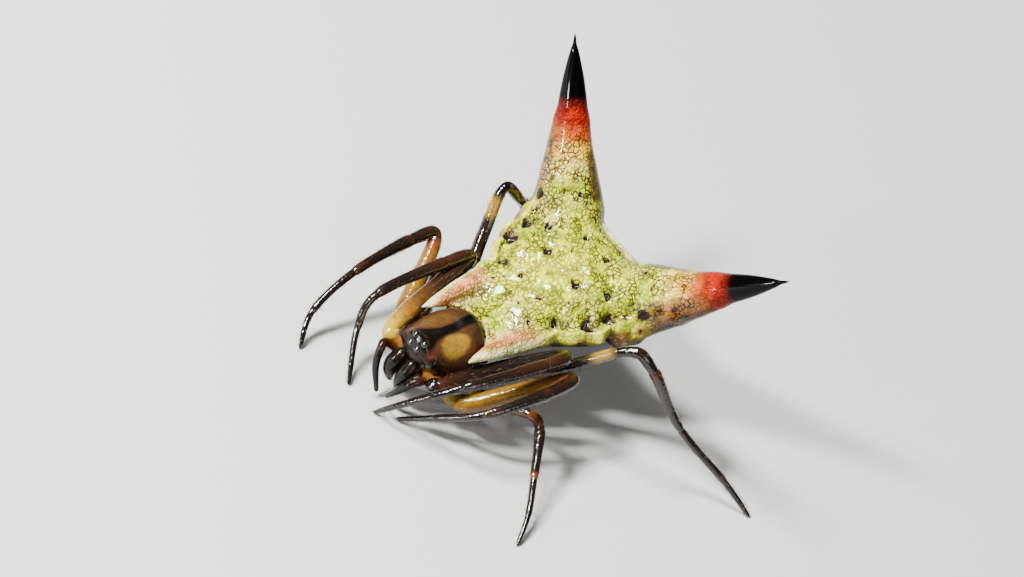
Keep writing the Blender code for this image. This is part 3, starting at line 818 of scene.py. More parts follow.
def make_spine_tips():
    """The sharp black end of each posterior spine."""
    horn = tip_material()
    coarse, fine = TIP_STEPS
    stops = np.arange(TIP_START, TIP_NARROWS, coarse)
    stops = np.concatenate([stops, np.arange(TIP_NARROWS, TIP_END, fine)])
    radii = np.maximum(spine_radius(stops), TIP_LEAST_RADIUS) + TIP_OVER_SKIN
    for word, side in (("left", 1), ("right", -1)):
        root = np.array(POSTERIOR_BASE) * (side, 1, 1)
        axis = np.array(SPINE_AXIS) * (side, 1, 1)
        shape, _, _ = sweep([root + axis * t for t in stops], radii, sides=40)
        colours = spine_paint(ORANGE_RED, (shape[0] - root) @ axis)
        tip = new_piece(f"posterior_spine_tip_{word}", shape, horn, base=colours)
        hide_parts(f"posterior_spine_{word}")


# Eyes of the left side: x, y, z and radius
EYES_MEDIAN = {
    "anterior_median": (0.14, -1.39, 2.12, 0.112),
    "posterior_median": (0.19, -1.26, 2.34, 0.125),
}
EYES_LATERAL = ((0.63, -1.24, 1.93, 0.09), (0.64, -1.12, 2.04, 0.09))

# Coxae of the left side by pair: outer end, and the way it points
COXAE = {
    1: ((0.76, -0.9, 1.36), (0.93, -0.25, 0.27)),
    2: ((0.96, -0.35, 1.02), (0.98, 0.05, -0.12)),
    3: ((1.0, 0.5, 1.02), (0.96, 0.25, -0.08)),
    4: ((0.74, 1.05, 1.22), (0.72, 0.68, 0.08)),
}
COXA_ENDS = (-0.6, 0.12)  # how far its round ends lie beyond the outer end, inwards below 0
COXA_RADII = (0.22, 0.24)

# Ellipsoids as middle and radii, and round cones as two places with radii
MEDIAN_MOUND = ((0, -1.24, 2.2), (0.34, 0.2, 0.24))
LATERAL_MOUND = ((0.58, -1.16, 1.98), (0.14, 0.17, 0.16))
FOVEA = ((0.0, 0.62, 2.66), (0.07, 0.16, 0.12))
HEAD_FURROW = ((0.62, -0.88, 2.42, 0.04), (0.22, -0.1, 2.62, 0.04))
MOUTH = ((0.16, -0.88, 1.0, 0.14), (0.2, -1.12, 1.12, 0.12))
WAIST = ((0.0, 1.1, 1.46, 0.16), (0.0, 1.78, 1.56, 0.15))

# The carapace's raised margin: how far it stands out, its height over the widest line, its half height
MARGIN_OUT = 0.045
MARGIN_LIFT = 0.02
MARGIN_HALF = 0.06

HEAD_BOX = ((-1.5, -1.75, 0.6), (1.5, 2.05, 2.85))
HEAD_STEP = 0.028


def head_field(x, y, z):
    """Distance to the carapace with its eye mounds, furrow, sternum, coxae and waist."""
    side = np.abs(x)
    carapace = carapace_field(x, y, z)
    body = smooth_min(carapace, blob(x, y, z, *MEDIAN_MOUND), 0.1)
    body = smooth_min(body, blob(side, y, z, *LATERAL_MOUND), 0.08)
    body = smooth_max(body, -round_cone(side, y, z, *HEAD_FURROW), 0.1)
    body = smooth_max(body, -blob(x, y, z, *FOVEA), 0.08)
    band = np.abs(z - stations(CARAPACE, 2, y) - MARGIN_LIFT) - MARGIN_HALF
    body = smooth_min(body, np.maximum(carapace - MARGIN_OUT, band), 0.05)
    for end, direction in COXAE.values():
        away = Vector(direction).normalized()
        ends = [(*(Vector(end) + away * out), radius) for out, radius in zip(COXA_ENDS, COXA_RADII)]
        body = smooth_min(body, round_cone(side, y, z, *ends), 0.04)
    body = smooth_min(body, round_cone(side, y, z, *MOUTH), 0.04)
    return smooth_min(body, round_cone(x, y, z, *WAIST), 0.08)


# Half width of the black band along the carapace's middle, by y
BLACK_BAND = (
    (-1.5, 0.4), (-1.3, 0.44), (-1.05, 0.38), (-0.8, 0.23), (-0.4, 0.14), (0.3, 0.14),
    (0.7, 0.16), (1.0, 0.12), (1.3, 0.08),
)


def head_paint(points):
    """Colour of the carapace, sternum and coxae at each point."""
    x, y, z = points.T
    side = np.abs(x)
    rise = z - stations(CARAPACE, 2, y)
    upper = step_up(rise, 0.0, 0.18)
    patch = step_up(bell(side - 0.47, 0.3) * bell(y + 0.26, 0.54), 0.26, 0.58)
    half_band = np.interp(y, *zip(*BLACK_BAND))
    band = (1 - step_up(side, half_band * 0.75, half_band * 1.3)) * (1 - step_up(y, 0.7, 1.1))
    mound = apart(side - 0.61, y + 1.18, z - 1.99)
    face = (1 - step_up(z, 1.9, 2.12)) * (1 - step_up(y, -1.25, -1.05))
    sternum = (1 - step_up(side, 0.4, 0.62)) * (1 - step_up(z, 0.98, 1.25))
    return painted(
        CARAPACE_BROWN,
        # The right tan patch is kept faint: painted shade on that side, from how the light falls
        (TAN, patch * upper * np.where(x < 0, 0.12, 1.0)),
        (HIND_BROWN, 0.85 * step_up(y, 0.1, 0.75) * upper),
        (FRONT_BROWN, 0.8 * (1 - step_up(y, -1.0, -0.65)) * upper),
        (JET, 0.97 * band * step_up(rise, -0.1, 0.04)),
        (MARGIN_BROWN, 0.85 * (1 - step_up(np.abs(rise - 0.04), 0.03, 0.2))),
        (MOUND_BROWN, 1 - step_up(mound, 0.13, 0.22)),
        (FACE_BROWN, 0.9 * face),
        (COXA_BROWN, 0.85 * (1 - step_up(rise, -0.25, -0.05)) * (1 - face)),
        (STERNUM_BROWN, 0.85 * sternum),
    )


# Finishes of painted cuticle: roughness, coat, size of the mottling, height of the grain, subsurface share,
# height of the coat's ripples, specular level
CUTICLES = {
    "carapace_cuticle": (0.34, 0.2, 0.1, 0.006, 0.08, 0.01, 0.05),
    "leg_cuticle": (0.3, 0.84, 0.09, 0.005, 0.1, 0.014, 0.03),
    "claw_horn": (0.15, 0.4, 0.05, 0.001, 0.0, 0.0, 0.12),
    "jaw_cuticle": (0.24, 0.22, 0.08, 0.004, 0.0, 0.01, 0.05),
    "palp_cuticle": (0.26, 0.3, 0.06, 0.004, 0.05, 0.008, 0.06),
    "spinneret_cuticle": (0.4, 0.2, 0.06, 0.006, 0.1, 0.0, 0.12),
}


def cuticle_material(name):
    """Glossy cuticle whose colour is painted on its points, with fine mottling and grain."""
    roughness, coat, mottle_mm, grain_mm, subsurface, ripple_mm, specular = CUTICLES[name]
    made = Nodes(name)
    base = made.attribute("base")
    shade = made.mix(CUTICLE_SHADE, WHITE, made.clouds(mottle_mm, 4.0, 0.3, 0.7))
    colour = made.mix(base, shade, 0.75, "MULTIPLY")
    grain = made.bump(made.noise(0.035, 4.0), grain_mm)
    dimples = made.ramp(made.voronoi(0.07, "F1"), 0.0, 0.6)
    normals = {"normal": made.bump(dimples, grain_mm, 0.6, grain)}
    if ripple_mm:
        normals["coat_normal"] = made.bump(made.noise(0.11, 2.0), ripple_mm)
    dark = made.ramp(made.parts(base)[1], 0.002, 0.006, 1.0, 0.0)
    coat = made.math("MULTIPLY_ADD", dark, 0.16, coat)
    return made.finish(colour, roughness, specular, coat, 0.05, subsurface, **normals)


def make_cephalothorax():
    """The skin of the head, thorax, sternum, coxae and waist."""
    shape = surface_of(head_field, *HEAD_BOX, HEAD_STEP)
    material = cuticle_material("carapace_cuticle")
    skin = new_piece("cephalothorax_skin", shape, material, base=head_paint(shape[0]))
    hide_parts("cephalothorax")


def eye_material():
    """Polished black lens."""
    made = Nodes("eye_lens")
    colour = made.mix(JET, LENS_BROWN, made.clouds(0.06, 2.0, 0.4, 0.7))
    return made.finish(colour, roughness=0.06, specular=0.5, coat=0.3, coat_roughness=0.04)


def ball(centre, radius, rings=14, sides=24):
    """Points and faces of a ball."""
    points = [(0.0, 0.0, radius)]
    for i in range(1, rings):
        angle = math.pi * i / rings
        for k in range(sides):
            turn = math.tau * k / sides
            out = radius * math.sin(angle)
            points.append((out * math.cos(turn), out * math.sin(turn), radius * math.cos(angle)))
    points.append((0.0, 0.0, -radius))
    last = len(points) - 1
    faces = []
    for k in range(sides):
        after = (k + 1) % sides
        faces.append((0, 1 + k, 1 + after))
        for row in range(1, last - sides, sides):
            faces.append((row + k, row + sides + k, row + sides + after, row + after))
        faces.append((last - sides + after, last - sides + k, last))
    return np.array(points) + np.array(centre), faces


def joined(shapes):
    """Several shapes, each points and faces, as one."""
    points, faces = [], []
    for more_points, more_faces in shapes:
        faces += [tuple(len(points) + i for i in face) for face in more_faces]
        points += [tuple(point) for point in more_points]
    return points, faces


def make_eyes():
    """Eight lenses, four in the middle and two on each side."""
    glass = eye_material()
    for word, side in (("right", -1), ("left", 1)):
        for name, (x, y, z, radius) in EYES_MEDIAN.items():
            piece = new_piece(f"lens_{name}_{word}", ball((x * side, y, z), radius), glass)
            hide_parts(f"eye_{name}_{word}")
        shape = joined(ball((x * side, y, z), radius) for x, y, z, radius in EYES_LATERAL)
        piece = new_piece(f"lenses_lateral_{word}", shape, glass)
        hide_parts(f"eyes_lateral_{word}")


def square_to(direction, steepest):
    """A level direction square to another, or one square to X where that one is too steep."""
    guide = (0.0, 0.0, 1.0) if abs(direction[2]) < steepest else (1.0, 0.0, 0.0)
    across = np.cross(direction, guide)
    return across / np.linalg.norm(across)


def around(across, over, turn):
    """The direction at an angle round a path."""
    return across * math.cos(turn) + over * math.sin(turn)


def frames_along(path):
    """The direction ahead and two across a path at each of its points, carried along without twist."""
    ahead = np.gradient(np.asarray(path, float), axis=0)
    ahead /= np.linalg.norm(ahead, axis=1)[:, None]
    across = [square_to(ahead[0], 0.9)]
    for direction in ahead[1:]:
        flat = across[-1] - direction * across[-1].dot(direction)
        across.append(flat / np.linalg.norm(flat))
    across = np.array(across)
    return ahead, across, np.cross(ahead, across)


CAP_ANGLES = [math.radians(angle) for angle in (80, 62, 42, 20)]


def sweep(path, radii, sides=20):
    """A closed tube along a path, with round ends: its shape, and each point's share along and lift.

    The lift is how far up the skin faces there, from -1 to 1.
    """
    ahead, across, over = frames_along(path)
    last = len(path) - 1
    rings = [(0, -angle) for angle in CAP_ANGLES]
    rings += [(i, 0.0) for i in range(len(path))]
    rings += [(last, angle) for angle in reversed(CAP_ANGLES)]
    points, shares, lifts = [], [], []
    for i, angle in rings:
        spot = path[i] + ahead[i] * radii[i] * math.sin(angle)
        for k in range(sides):
            out = around(across[i], over[i], math.tau * k / sides)
            points.append(spot + out * (radii[i] * math.cos(angle)))
            shares.append(i / last)
            lifts.append(out[2])
    faces = []
    for row in range(0, (len(rings) - 1) * sides, sides):
        for k in range(sides):
            a, b = row + k, row + (k + 1) % sides
            faces.append((a, b, b + sides, a + sides))
    faces.append(tuple(range(sides))[::-1])
    faces.append(tuple(range(len(points) - sides, len(points))))
    return (np.array(points), faces), np.array(shares), np.array(lifts)


def tube(places, steps, sides):
    """A swept tube through (x, y, z, radius) places."""
    curve = smooth_path(places, steps)
    return sweep(curve[:, :3], curve[:, 3], sides)


def above_floor(shape, height):
    """A shape whose points are no lower than a height."""
    points = np.array(shape[0])
    points[:, 2] = np.maximum(points[:, 2], height)
    return points, shape[1]


# Leg joints: femur bends and knee, then the ends of patella, tibia and metatarsus, and the claw
LEGS = {
    "leg_1_right": (
        (-1.55, 0.5, 1.68), (-1.96, 2.4, 2.32), (-2.06, 1.56, 2.35), (-2.15, -0.74, 1.75),
        (-1.77, -1.43, 0.95), (-0.72, -2.14, 0.0),
    ),
    "leg_2_right": (
        (-1.87, 0.5, 1.0), (-3.13, 2.24, 2.0), (-3.31, 1.43, 2.0), (-3.19, -0.63, 1.5),
        (-2.87, -2.12, 0.7), (-2.28, -2.73, 0.0),
    ),
    "leg_3_right": (
        (-1.7, 1.25, 0.98), (-2.35, 1.95, 1.28), (-2.62, 2.3, 1.18), (-2.75, 3.05, 0.72),
        (-2.55, 3.52, 0.34), (-2.35, 3.8, 0.0),
    ),
    "leg_4_right": (
        (-1.62, 2.35, 1.5), (-2.5, 3.35, 2.55), (-3.05, 4.01, 3.6), (-2.8, 4.86, 3.05),
        (-2.78, 6.5, 1.7), (-2.85, 7.28, 0.75), (-2.92, 7.7, 0.0),
    ),
    "leg_1_left": (
        (1.42, 0.75, 1.82), (2.1, 2.41, 2.6), (2.26, 1.61, 2.75), (1.74, -0.84, 2.1),
        (1.01, -1.78, 1.0), (0.42, -2.07, 0.0),
    ),
    "leg_2_left": (
        (1.75, -0.05, 1.12), (2.22, 0.95, 1.75), (2.75, 2.37, 2.4), (2.9, 1.38, 2.35),
        (2.53, -0.44, 1.7), (1.59, -1.13, 0.75), (0.86, -1.51, 0.0),
    ),
    "leg_3_left": (
        (1.95, 0.92, 1.0), (2.81, 1.23, 1.4), (3.36, 1.13, 1.42), (4.4, 0.33, 0.85),
        (5.2, -0.34, 0.4), (5.73, -1.01, 0.0),
    ),
    "leg_4_left": (
        (2.0, 2.62, 1.88), (3.1, 3.65, 3.5), (3.84, 4.13, 3.35), (4.98, 5.25, 1.75),
        (6.49, 6.43, 0.7), (7.45, 7.02, 0.0),
    ),
}

# Radii of the real segments by pair: femur, patella, tibia, metatarsus, tarsus
LEG_RADII = {
    1: (0.305, 0.21, 0.165, 0.125, 0.1),
    2: (0.275, 0.195, 0.16, 0.12, 0.095),
    3: (0.2, 0.16, 0.135, 0.105, 0.085),
    4: (0.205, 0.17, 0.145, 0.12, 0.095),
}

# How thick each segment is along its length, as (share along, share of its radius), from trochanter to
# tarsus; the trochanter's own radii come first, in millimetres
THICKNESS = (
    ((0, 0.225), (1, 0.21)),
    ((0, 0.72), (0.12, 0.86), (0.35, 1.0), (0.7, 0.9), (0.92, 0.78), (1, 0.7)),
    ((0, 0.88), (0.2, 1.0), (0.7, 1.0), (1, 0.88)),
    ((0, 0.98), (0.06, 1.22), (0.25, 1.16), (0.6, 0.96), (0.93, 0.94), (1, 0.84)),
    ((0, 0.82), (0.06, 1.0), (0.5, 0.92), (0.95, 0.95), (1, 0.85)),
    ((0, 0.85), (0.06, 1.0), (0.6, 0.85), (1, 0.55)),
)
COXA_OVERLAP = 0.16
TROCHANTER = 0.2
CLAW_LIFT = 0.05  # height of the last joint's middle over the floor
SKIN_LIFT = 0.004
CLAW_SKIN_LIFT = 0.002
STEPS_PER_JOINT = 14

HONEY = (0.46, 0.3, 0.018)
DEEP_HONEY = (0.2, 0.1, 0.004)
BAND_HONEY = (0.27, 0.155, 0.012)
AMBER = (0.25, 0.1, 0.008)
RUST = (0.14, 0.038, 0.006)
CHESTNUT = (0.1, 0.04, 0.008)
RED_BROWN = (0.032, 0.0105, 0.004)
UMBER = (0.026, 0.01, 0.004)
# Painted shadow brown, for the leg that lies in the abdomen's shadow
PAINTED_SHADOW_BROWN = (0.01, 0.0045, 0.0025)
DARK_BROWN = (0.009, 0.0045, 0.0025)
# A deeper painted shadow brown, for the same leg
DEEP_PAINTED_SHADOW_BROWN = (0.007, 0.004, 0.0025)
NEAR_BLACK = (0.003, 0.002, 0.0014)

# Colour stops as (share along, colour): the trochanter's, then femur, patella and tibia by pair, then
# metatarsus and tarsus. The last of a row's colours goes on to the segment's end.
TROCHANTER_PAINT = ((0, HONEY),)
FEMUR_BAND = ((0.79, BAND_HONEY), (0.875, BAND_HONEY), (0.91, NEAR_BLACK))
TIBIA_SPOT = ((0.06, RED_BROWN), (0.1, RUST))
SEGMENT_PAINT = {
    1: (
        ((0, HONEY), (0.26, AMBER), (0.42, CHESTNUT), (0.64, UMBER), (1, DARK_BROWN)),
        ((0, DARK_BROWN), (1, RED_BROWN)),
        ((0, RED_BROWN), (0.6, DARK_BROWN)),
    ),
    2: (
        ((0, HONEY), (0.2, DEEP_HONEY), (0.6, DEEP_HONEY), (0.8, AMBER), (0.93, RUST), (1, RED_BROWN)),
        ((0, RED_BROWN), (1, DARK_BROWN)),
        ((0, RED_BROWN), (0.2, DARK_BROWN), (0.75, DARK_BROWN), (1, RED_BROWN)),
    ),
    3: (
        ((0, HONEY), (0.6, AMBER), (1, DARK_BROWN)),
        ((0.6, RUST), (1, DARK_BROWN)),
        ((0, RED_BROWN), (0.1, DARK_BROWN), (0.85, NEAR_BLACK), (1, RUST)),
    ),
    4: (
        ((0, HONEY), (0.35, AMBER), (0.55, DARK_BROWN), (0.74, DARK_BROWN), *FEMUR_BAND),
        ((0, NEAR_BLACK), (0.5, DARK_BROWN)),
        ((0, DARK_BROWN), *TIBIA_SPOT, (0.16, DARK_BROWN), (0.6, DARK_BROWN), (1, NEAR_BLACK)),
    ),
}
FOOT_PAINT = (((0, DARK_BROWN), (1, NEAR_BLACK)), ((0, NEAR_BLACK),))
# The left first leg's trochanter and femur get these darker stops: a painted shadow of the abdomen on them
LEG_IN_PAINTED_SHADOW = "leg_1_left"
PAINTED_SHADOW_STOPS = ((0, RED_BROWN), (0.3, PAINTED_SHADOW_BROWN), (1, DEEP_PAINTED_SHADOW_BROWN))
JAW_PAINT = ((0, DARK_BROWN), (0.3, NEAR_BLACK))
PALP_PAINT = ((0, RUST), (0.3, RED_BROWN), (0.6, NEAR_BLACK))


def stops_colour(stops, shares):
    """Colours read from a row of stops."""
    places, colours = zip(*stops)
    return np.stack([np.interp(shares, places, channel) for channel in zip(*colours)], axis=1)


def segment_radii(index, pair, count):
    """How thick one segment is along its length: narrow at its root, fuller near its end."""
    shares = np.interp(np.linspace(0, 1, count), *zip(*THICKNESS[index]))
    return shares * (1.0, *LEG_RADII[pair])[index]


def leg_paths(name):
    """The paths of a leg's six segments beyond the coxa."""
    side = (1 if name.endswith("left") else -1, 1, 1)
    end, direction = COXAE[int(name.split("_")[1])]
    away = np.array(Vector(direction).normalized()) * side
    start = np.array(end) * side + away * COXA_OVERLAP
    *joints, claw = [np.array(joint) for joint in LEGS[name]]
    marks = [start, start + away * TROCHANTER, *joints, claw + np.array((0, 0, CLAW_LIFT))]
    curve = smooth_path(marks, STEPS_PER_JOINT)
    femur_end = len(joints) - 2
    cuts = [STEPS_PER_JOINT * mark for mark in (0, 1, *range(femur_end, femur_end + 5))]
    return [curve[a:b + 1] for a, b in zip(cuts, cuts[1:])]


def hair_mesh(hairs):
    """Curved three-sided hairs, each from its root, direction, bend, length and radius."""
    points, faces = [], []
    for root, direction, bend, length, radius in hairs:
        direction = direction / np.linalg.norm(direction)
        across = square_to(direction, 0.8)
        over = np.cross(direction, across)
        start = len(points)
        for share, thick in ((0.0, 1.0), (0.55, 0.7)):
            middle = root + direction * length * share + bend * length * share * share
            points += [middle + around(across, over, math.tau * k / 3) * radius * thick for k in range(3)]
        points.append(root + direction * length + bend * length)
        for k in range(3):
            after = (k + 1) % 3
            faces.append((start + k, start + after, start + 3 + after, start + 3 + k))
            faces.append((start + 3 + k, start + 3 + after, start + 6))
    return points, faces


PATCH = 0.003  # size of one hair's patch on the map
FACES_PER_HAIR = 6


def map_hairs(piece, spots):
    """Gives each hair its own small patch at its root's place on the skin's unwrap."""
    layer = piece.data.uv_layers.new(name="OFBake")
    for number, polygon in enumerate(piece.data.polygons):
        u, v = spots[number // FACES_PER_HAIR]
        for corner, loop in enumerate(polygon.loop_indices):
            turn = math.tau * corner / 4
            layer.data[loop].uv = (u + PATCH / 2 * math.cos(turn), v + PATCH / 2 * math.sin(turn))


# Hairs on each segment: how many to the millimetre, length, how far they stand off
HAIRS = (
    (14, 0.1, 0.5), (26, 0.13, 0.45), (26, 0.14, 0.45), (38, 0.15, 0.5), (44, 0.13, 0.5),
    (50, 0.11, 0.55),
)
HAIR_RADIUS = 0.0055
HAIR_BEND = 0.25
HAIR_STRAY = 0.12
HAIR_ROOT = 0.97  # where a hair is rooted, as a share of the skin's radius
LOWEST_ROOT = 0.03
HAIR_FLOOR_GAP = 0.012
SHORTEST_HAIR = 0.02


def leg_hairs(paths, thickness, rng):
    """Hairs rooted on a leg's segments, leaning towards the claw, and each hair's place on the map."""
    hairs, spots = [], []
    for index, (path, radii) in enumerate(zip(paths, thickness)):
        dense, reach, stand = HAIRS[index]
        length = np.linalg.norm(np.diff(path, axis=0), axis=1).sum()
        ahead, across, over = frames_along(path)
        for _ in range(int(dense * length)):
            share = rng.uniform(0.04, 0.96)
            turn = rng.uniform(0, math.tau)
            i = int(share * (len(path) - 1))
            after = min(i + 1, len(path) - 1)
            part = share * (len(path) - 1) - i
            middle = path[i] * (1 - part) + path[after] * part
            radius = radii[i] * (1 - part) + radii[after] * part
            out = around(across[i], over[i], turn)
            root = middle + out * radius * HAIR_ROOT
            if root[2] < LOWEST_ROOT:
                continue
            lean = ahead[i] * (1 - stand) + out * stand
            lean = lean + np.array([rng.uniform(-HAIR_STRAY, HAIR_STRAY) for _ in range(3)])
            size = reach * rng.uniform(0.6, 1.25)
            size = min(size, max(root[2] - HAIR_FLOOR_GAP, SHORTEST_HAIR) * 1.4)
            hairs.append((root, lean, ahead[i] * HAIR_BEND, size, HAIR_RADIUS * rng.uniform(0.7, 1.2)))
            spots.append(((index + 0.05 + 0.9 * share) / 6, 0.05 + 0.9 * turn / math.tau))
    return above_floor(hair_mesh(hairs), SKIN_LIFT), spots


def hair_material():
    """Fine dark bristle with a pale glint."""
    made = Nodes("bristle")
    colour = made.mix(BRISTLE_BROWN, BRISTLE_GLINT, made.clouds(0.2, 2.0, 0.35, 0.65))
    return made.finish(colour, roughness=0.35, specular=0.3)


KNOB_ROWS = 7
KNOBS_IN_ROW = 12
KNOB_START = 0.16
KNOB_PITCH = 0.07
KNOB_STRAY = 0.02
KNOB_TURN_STRAY = 0.2
KNOB_DEPTH = 0.006
KNOB_RADII = (0.016, 0.026)
# Knobs are painted lighter than the skin round them: partly their own paler colour, partly a painted glint
KNOB_PALE_AND_GLINT = 1.25  # how much lighter a knob is than the skin round it


def femur_knobs(path, radii, rng):
    """Rows of tiny round knobs all round a femur, each with its share along it."""
    _, across, over = frames_along(path)
    knobs = []
    for row in range(KNOB_ROWS):
        for k in range(KNOBS_IN_ROW):
            share = KNOB_START + KNOB_PITCH * k + rng.uniform(-KNOB_STRAY, KNOB_STRAY)
            turn = math.tau * row / KNOB_ROWS + rng.uniform(-KNOB_TURN_STRAY, KNOB_TURN_STRAY)
            i = int(share * (len(path) - 1))
            centre = path[i] + around(across[i], over[i], turn) * (radii[i] - KNOB_DEPTH)
            knobs.append((ball(centre, rng.uniform(*KNOB_RADII), rings=5, sides=8), share))
    return knobs


# A claw: how far each stands to its side, its reach, the top of its curve, its point's height, and radii
CLAW_SIDE = 0.02
CLAW_REACH = 0.085
CLAW_TOP = (0.05, 0.012)
CLAW_POINT = 0.008
CLAW_RADII = (0.014, 0.003)


def make_claws(name, path, material):
    """A pair of small hooked claws at a leg's end."""
    ahead, _, _ = frames_along(path)
    end = path[-1]
    flat = np.array((ahead[-1][0], ahead[-1][1], 0.0))
    flat /= max(np.linalg.norm(flat), 1e-6)
    sideways = np.array((-flat[1], flat[0], 0.0))
    shapes = []
    for side in (-1, 1):
        start = end + sideways * side * CLAW_SIDE
        middle = start + flat * CLAW_TOP[0] + np.array((0, 0, CLAW_TOP[1]))
        tip = start + flat * CLAW_REACH - np.array((0, 0, end[2] - CLAW_POINT))
        curve = smooth_path([start, middle, tip], steps=5)
        shape, _, _ = sweep(curve, np.linspace(*CLAW_RADII, len(curve)), sides=8)
        shapes.append(above_floor(shape, CLAW_SKIN_LIFT))
    shape = joined(shapes)
    claws = new_piece(f"{name}_claws", shape, material, base=np.tile(NEAR_BLACK, (len(shape[0]), 1)))
    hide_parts(name)


LEG_SEED = 100
PALP_SEED = 300
# Painted light and shade on the legs: tops are painted lighter and undersides darker
PAINTED_TOP_LIGHT = (0.86, 0.24)  # a leg's paint on its sides, and how much more its upper face gets


def make_legs():
    """Eight legs, each a row of segments with their bristles and claws."""
    skin_material = cuticle_material("leg_cuticle")
    bristle = hair_material()
    claw_material = cuticle_material("claw_horn")
    for number, name in enumerate(LEGS):
        rng = random.Random(LEG_SEED + number)
        pair = int(name.split("_")[1])
        paths = leg_paths(name)
        shapes, colours, thickness = [], [], []
        for index, path in enumerate(paths):
            radii = segment_radii(index, pair, len(path))
            thickness.append(radii)
            shape, shares, lifts = sweep(path, radii)
            stops = (TROCHANTER_PAINT, *SEGMENT_PAINT[pair], *FOOT_PAINT)[index]
            # Painted shadow on the left first leg's trochanter and femur
            if name == LEG_IN_PAINTED_SHADOW and index < 2:
                stops = PAINTED_SHADOW_STOPS
            shapes.append(above_floor(shape, SKIN_LIFT))
            # Painted light and shade: the paint is lighter where the skin faces up, darker where it faces
            # down
            colours.append(stops_colour(stops, shares) * (PAINTED_TOP_LIGHT[0] + PAINTED_TOP_LIGHT[1] * lifts[:, None]))
            if index == 1:
                for knob, share in femur_knobs(path, radii, rng):
                    shapes.append(knob)
                    # Paler knobs: partly their own colour, partly a painted glint
                    colours.append(stops_colour(stops, np.full(len(knob[0]), share)) * KNOB_PALE_AND_GLINT)
        skin = new_piece(f"{name}_skin", joined(shapes), skin_material, base=np.concatenate(colours))
        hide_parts(name)
        shape, spots = leg_hairs(paths, thickness, rng)
        coat = new_piece(f"{name}_bristles", shape, bristle)
        map_hairs(coat, spots)
        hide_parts(name)
        make_claws(name, paths[-1], claw_material)


# Jaws and fangs of the left side, and both palps: x, y, z and radius
CHELICERA = (
    (0.24, -1.34, 1.5, 0.2), (0.26, -1.43, 1.22, 0.25), (0.24, -1.43, 0.92, 0.21),
    (0.2, -1.38, 0.72, 0.14),
)
FANG = ((0.22, -1.42, 0.72, 0.05), (0.14, -1.4, 0.61, 0.04), (0.07, -1.3, 0.6, 0.015))
PALPS = {
    "right": (
        (-0.58, -1.05, 1.22, 0.12), (-0.8, -1.42, 1.42, 0.13), (-0.7, -1.66, 1.38, 0.12),
        (-0.5, -1.76, 0.9, 0.105), (-0.14, -1.66, 0.24, 0.07),
    ),
    "left": (
        (0.58, -1.05, 1.22, 0.12), (0.74, -1.36, 1.42, 0.125), (0.66, -1.6, 1.34, 0.12),
        (0.52, -1.76, 0.95, 0.105), (0.3, -1.74, 0.48, 0.07),
    ),
}


def make_jaw(word, side, material):
    """One jaw with its fang."""
    jaw, shares, _ = tube([(x * side, y, z, radius) for x, y, z, radius in CHELICERA], steps=8, sides=28)
    fang, _, _ = tube([(x * side, y, z, radius) for x, y, z, radius in FANG], steps=6, sides=12)
    colours = np.concatenate([stops_colour(JAW_PAINT, shares), np.tile(FANG_RED, (len(fang[0]), 1))])
    piece = new_piece(f"chelicera_{word}_skin", joined([jaw, fang]), material, base=colours)
    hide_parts(f"chelicera_{word}")


def make_palp(word, material, bristle, rng):
    """One palp with its bristles."""
    curve = smooth_path(PALPS[word], steps=8)
    shape, shares, _ = sweep(curve[:, :3], curve[:, 3], sides=18)
    palp = new_piece(f"palp_{word}_skin", shape, material, base=stops_colour(PALP_PAINT, shares))
    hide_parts(f"palp_{word}")
    shape, spots = leg_hairs([curve[:, :3]], [curve[:, 3]], rng)
    coat = new_piece(f"palp_{word}_bristles", shape, bristle)
    map_hairs(coat, spots)
    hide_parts(f"palp_{word}")


def make_mouthparts():
    """The jaws with their fangs, and the palps with bristles."""
    jaw_material = cuticle_material("jaw_cuticle")
    palp_material = cuticle_material("palp_cuticle")
    bristle = hair_material()
    for number, (word, side) in enumerate((("right", -1), ("left", 1))):
        make_jaw(word, side, jaw_material)
        make_palp(word, palp_material, bristle, random.Random(PALP_SEED + number))


# Spinnerets: how many in a ring, the ring's radius, their length and radius, and the ring's turn
SPINNERETS = ((4, 0.14, 0.3, 0.095, 0.5), (2, 0.07, 0.22, 0.06, 0.0))
SPINNERET_Y = 4.0
SPINNERET_ROOT = 0.76
SPINNERET_BASE = ((1.06, 0.3), (0.86, 0.29), (0.74, 0.24))  # heights and radii
# Along one spinneret: shares of its place in the ring, its length and its radius
SPINNERET_OUTLINE = ((1.0, 0.0, 1.0), (1.1, 0.6, 0.85), (0.9, 1.0, 0.5))


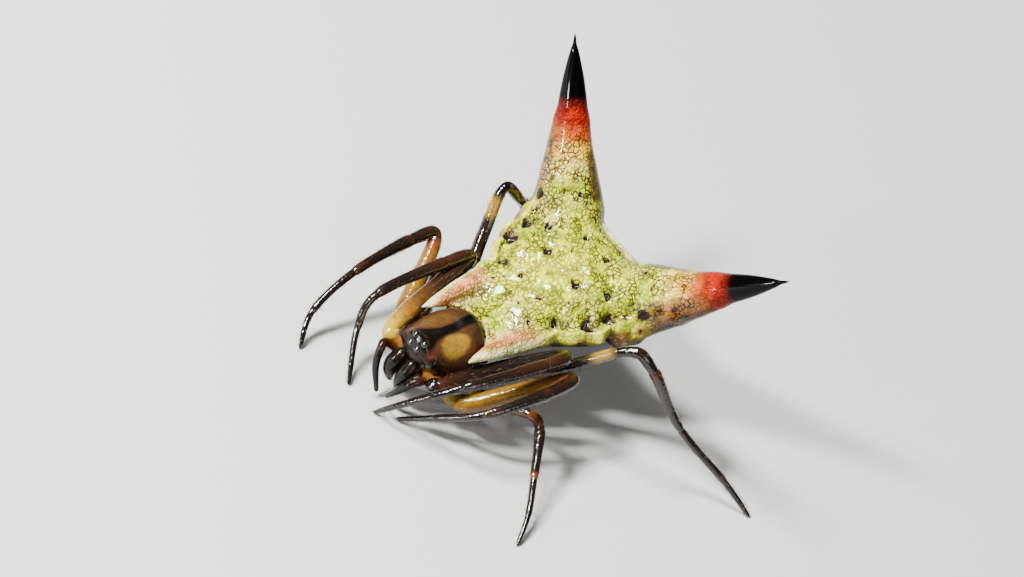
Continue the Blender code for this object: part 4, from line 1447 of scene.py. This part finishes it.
def make_spinnerets():
    """Six blunt spinnerets in a ring at the end of the ventral cone."""
    base = [(0, SPINNERET_Y, z, radius) for z, radius in SPINNERET_BASE]
    shapes = [tube(base, steps=4, sides=28)[0]]
    for count, ring, length, radius, turn in SPINNERETS:
        for k in range(count):
            angle = math.tau * (k + turn) / count
            across, along = ring * math.cos(angle), ring * 1.1 * math.sin(angle)
            places = [
                (across * out, SPINNERET_Y + along * out, SPINNERET_ROOT - length * down, radius * thick)
                for out, down, thick in SPINNERET_OUTLINE
            ]
            shapes.append(tube(places, steps=5, sides=14)[0])
    shape = joined(shapes)
    material = cuticle_material("spinneret_cuticle")
    colours = np.tile(SPINNERET_BROWN, (len(shape[0]), 1))
    piece = new_piece("spinnerets_skin", shape, material, base=colours)
    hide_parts("spinnerets")


FLOOR_REACH = 0.5


def make_floor():
    """A plain pale floor."""
    mesh = bpy.data.meshes.new("floor")
    corners = [(x * FLOOR_REACH, y * FLOOR_REACH, 0) for x, y in ((-1, -1), (1, -1), (1, 1), (-1, 1))]
    mesh.from_pydata(corners, [], [(0, 1, 2, 3)])
    mesh.materials.append(Nodes("floor").finish(FLOOR_GREY, roughness=0.7, specular=0.5))
    floor = bpy.data.objects.new("floor", mesh)
    bpy.context.scene.collection.objects.link(floor)


# Square soft lights: offset from the lit place in metres, size, power
LIGHTS = {
    "key": ((-0.06, -0.13, 0.12), 0.02, 1.22),
    "top": ((-0.0755, -0.0515, 0.1375), 0.034, 0.92),
    "low": ((-0.03, -0.155, 0.034), 0.014, 0.2),
    "fill": ((0.16, -0.06, 0.1), 0.1, 0.15),
}
LIT_PLACE = (0.5, 2.5, 2.5)
SURROUND_STRENGTH = 0.17


def make_lights():
    """A key light from the upper left, one above, one low in front, a fill, and an even pale surround."""
    target = place(LIT_PLACE)
    for name, (offset, size, power) in LIGHTS.items():
        data = bpy.data.lights.new(name, "AREA")
        data.shape = "SQUARE"
        data.size = size
        data.energy = power
        light = bpy.data.objects.new(name, data)
        light.location = target + Vector(offset)
        light.rotation_mode = "QUATERNION"
        light.rotation_quaternion = (target - light.location).to_track_quat("-Z", "Y")
        bpy.context.scene.collection.objects.link(light)
    world = bpy.data.worlds.new("surround")
    world.use_nodes = True
    background = world.node_tree.nodes["Background"]
    background.inputs["Color"].default_value = (*SURROUND, 1.0)
    background.inputs["Strength"].default_value = SURROUND_STRENGTH
    bpy.context.scene.world = world


make_camera()
make_lights()
make_floor()
make_abdomen()
make_spine_tips()
make_cephalothorax()
make_eyes()
make_mouthparts()
make_spinnerets()
make_legs()
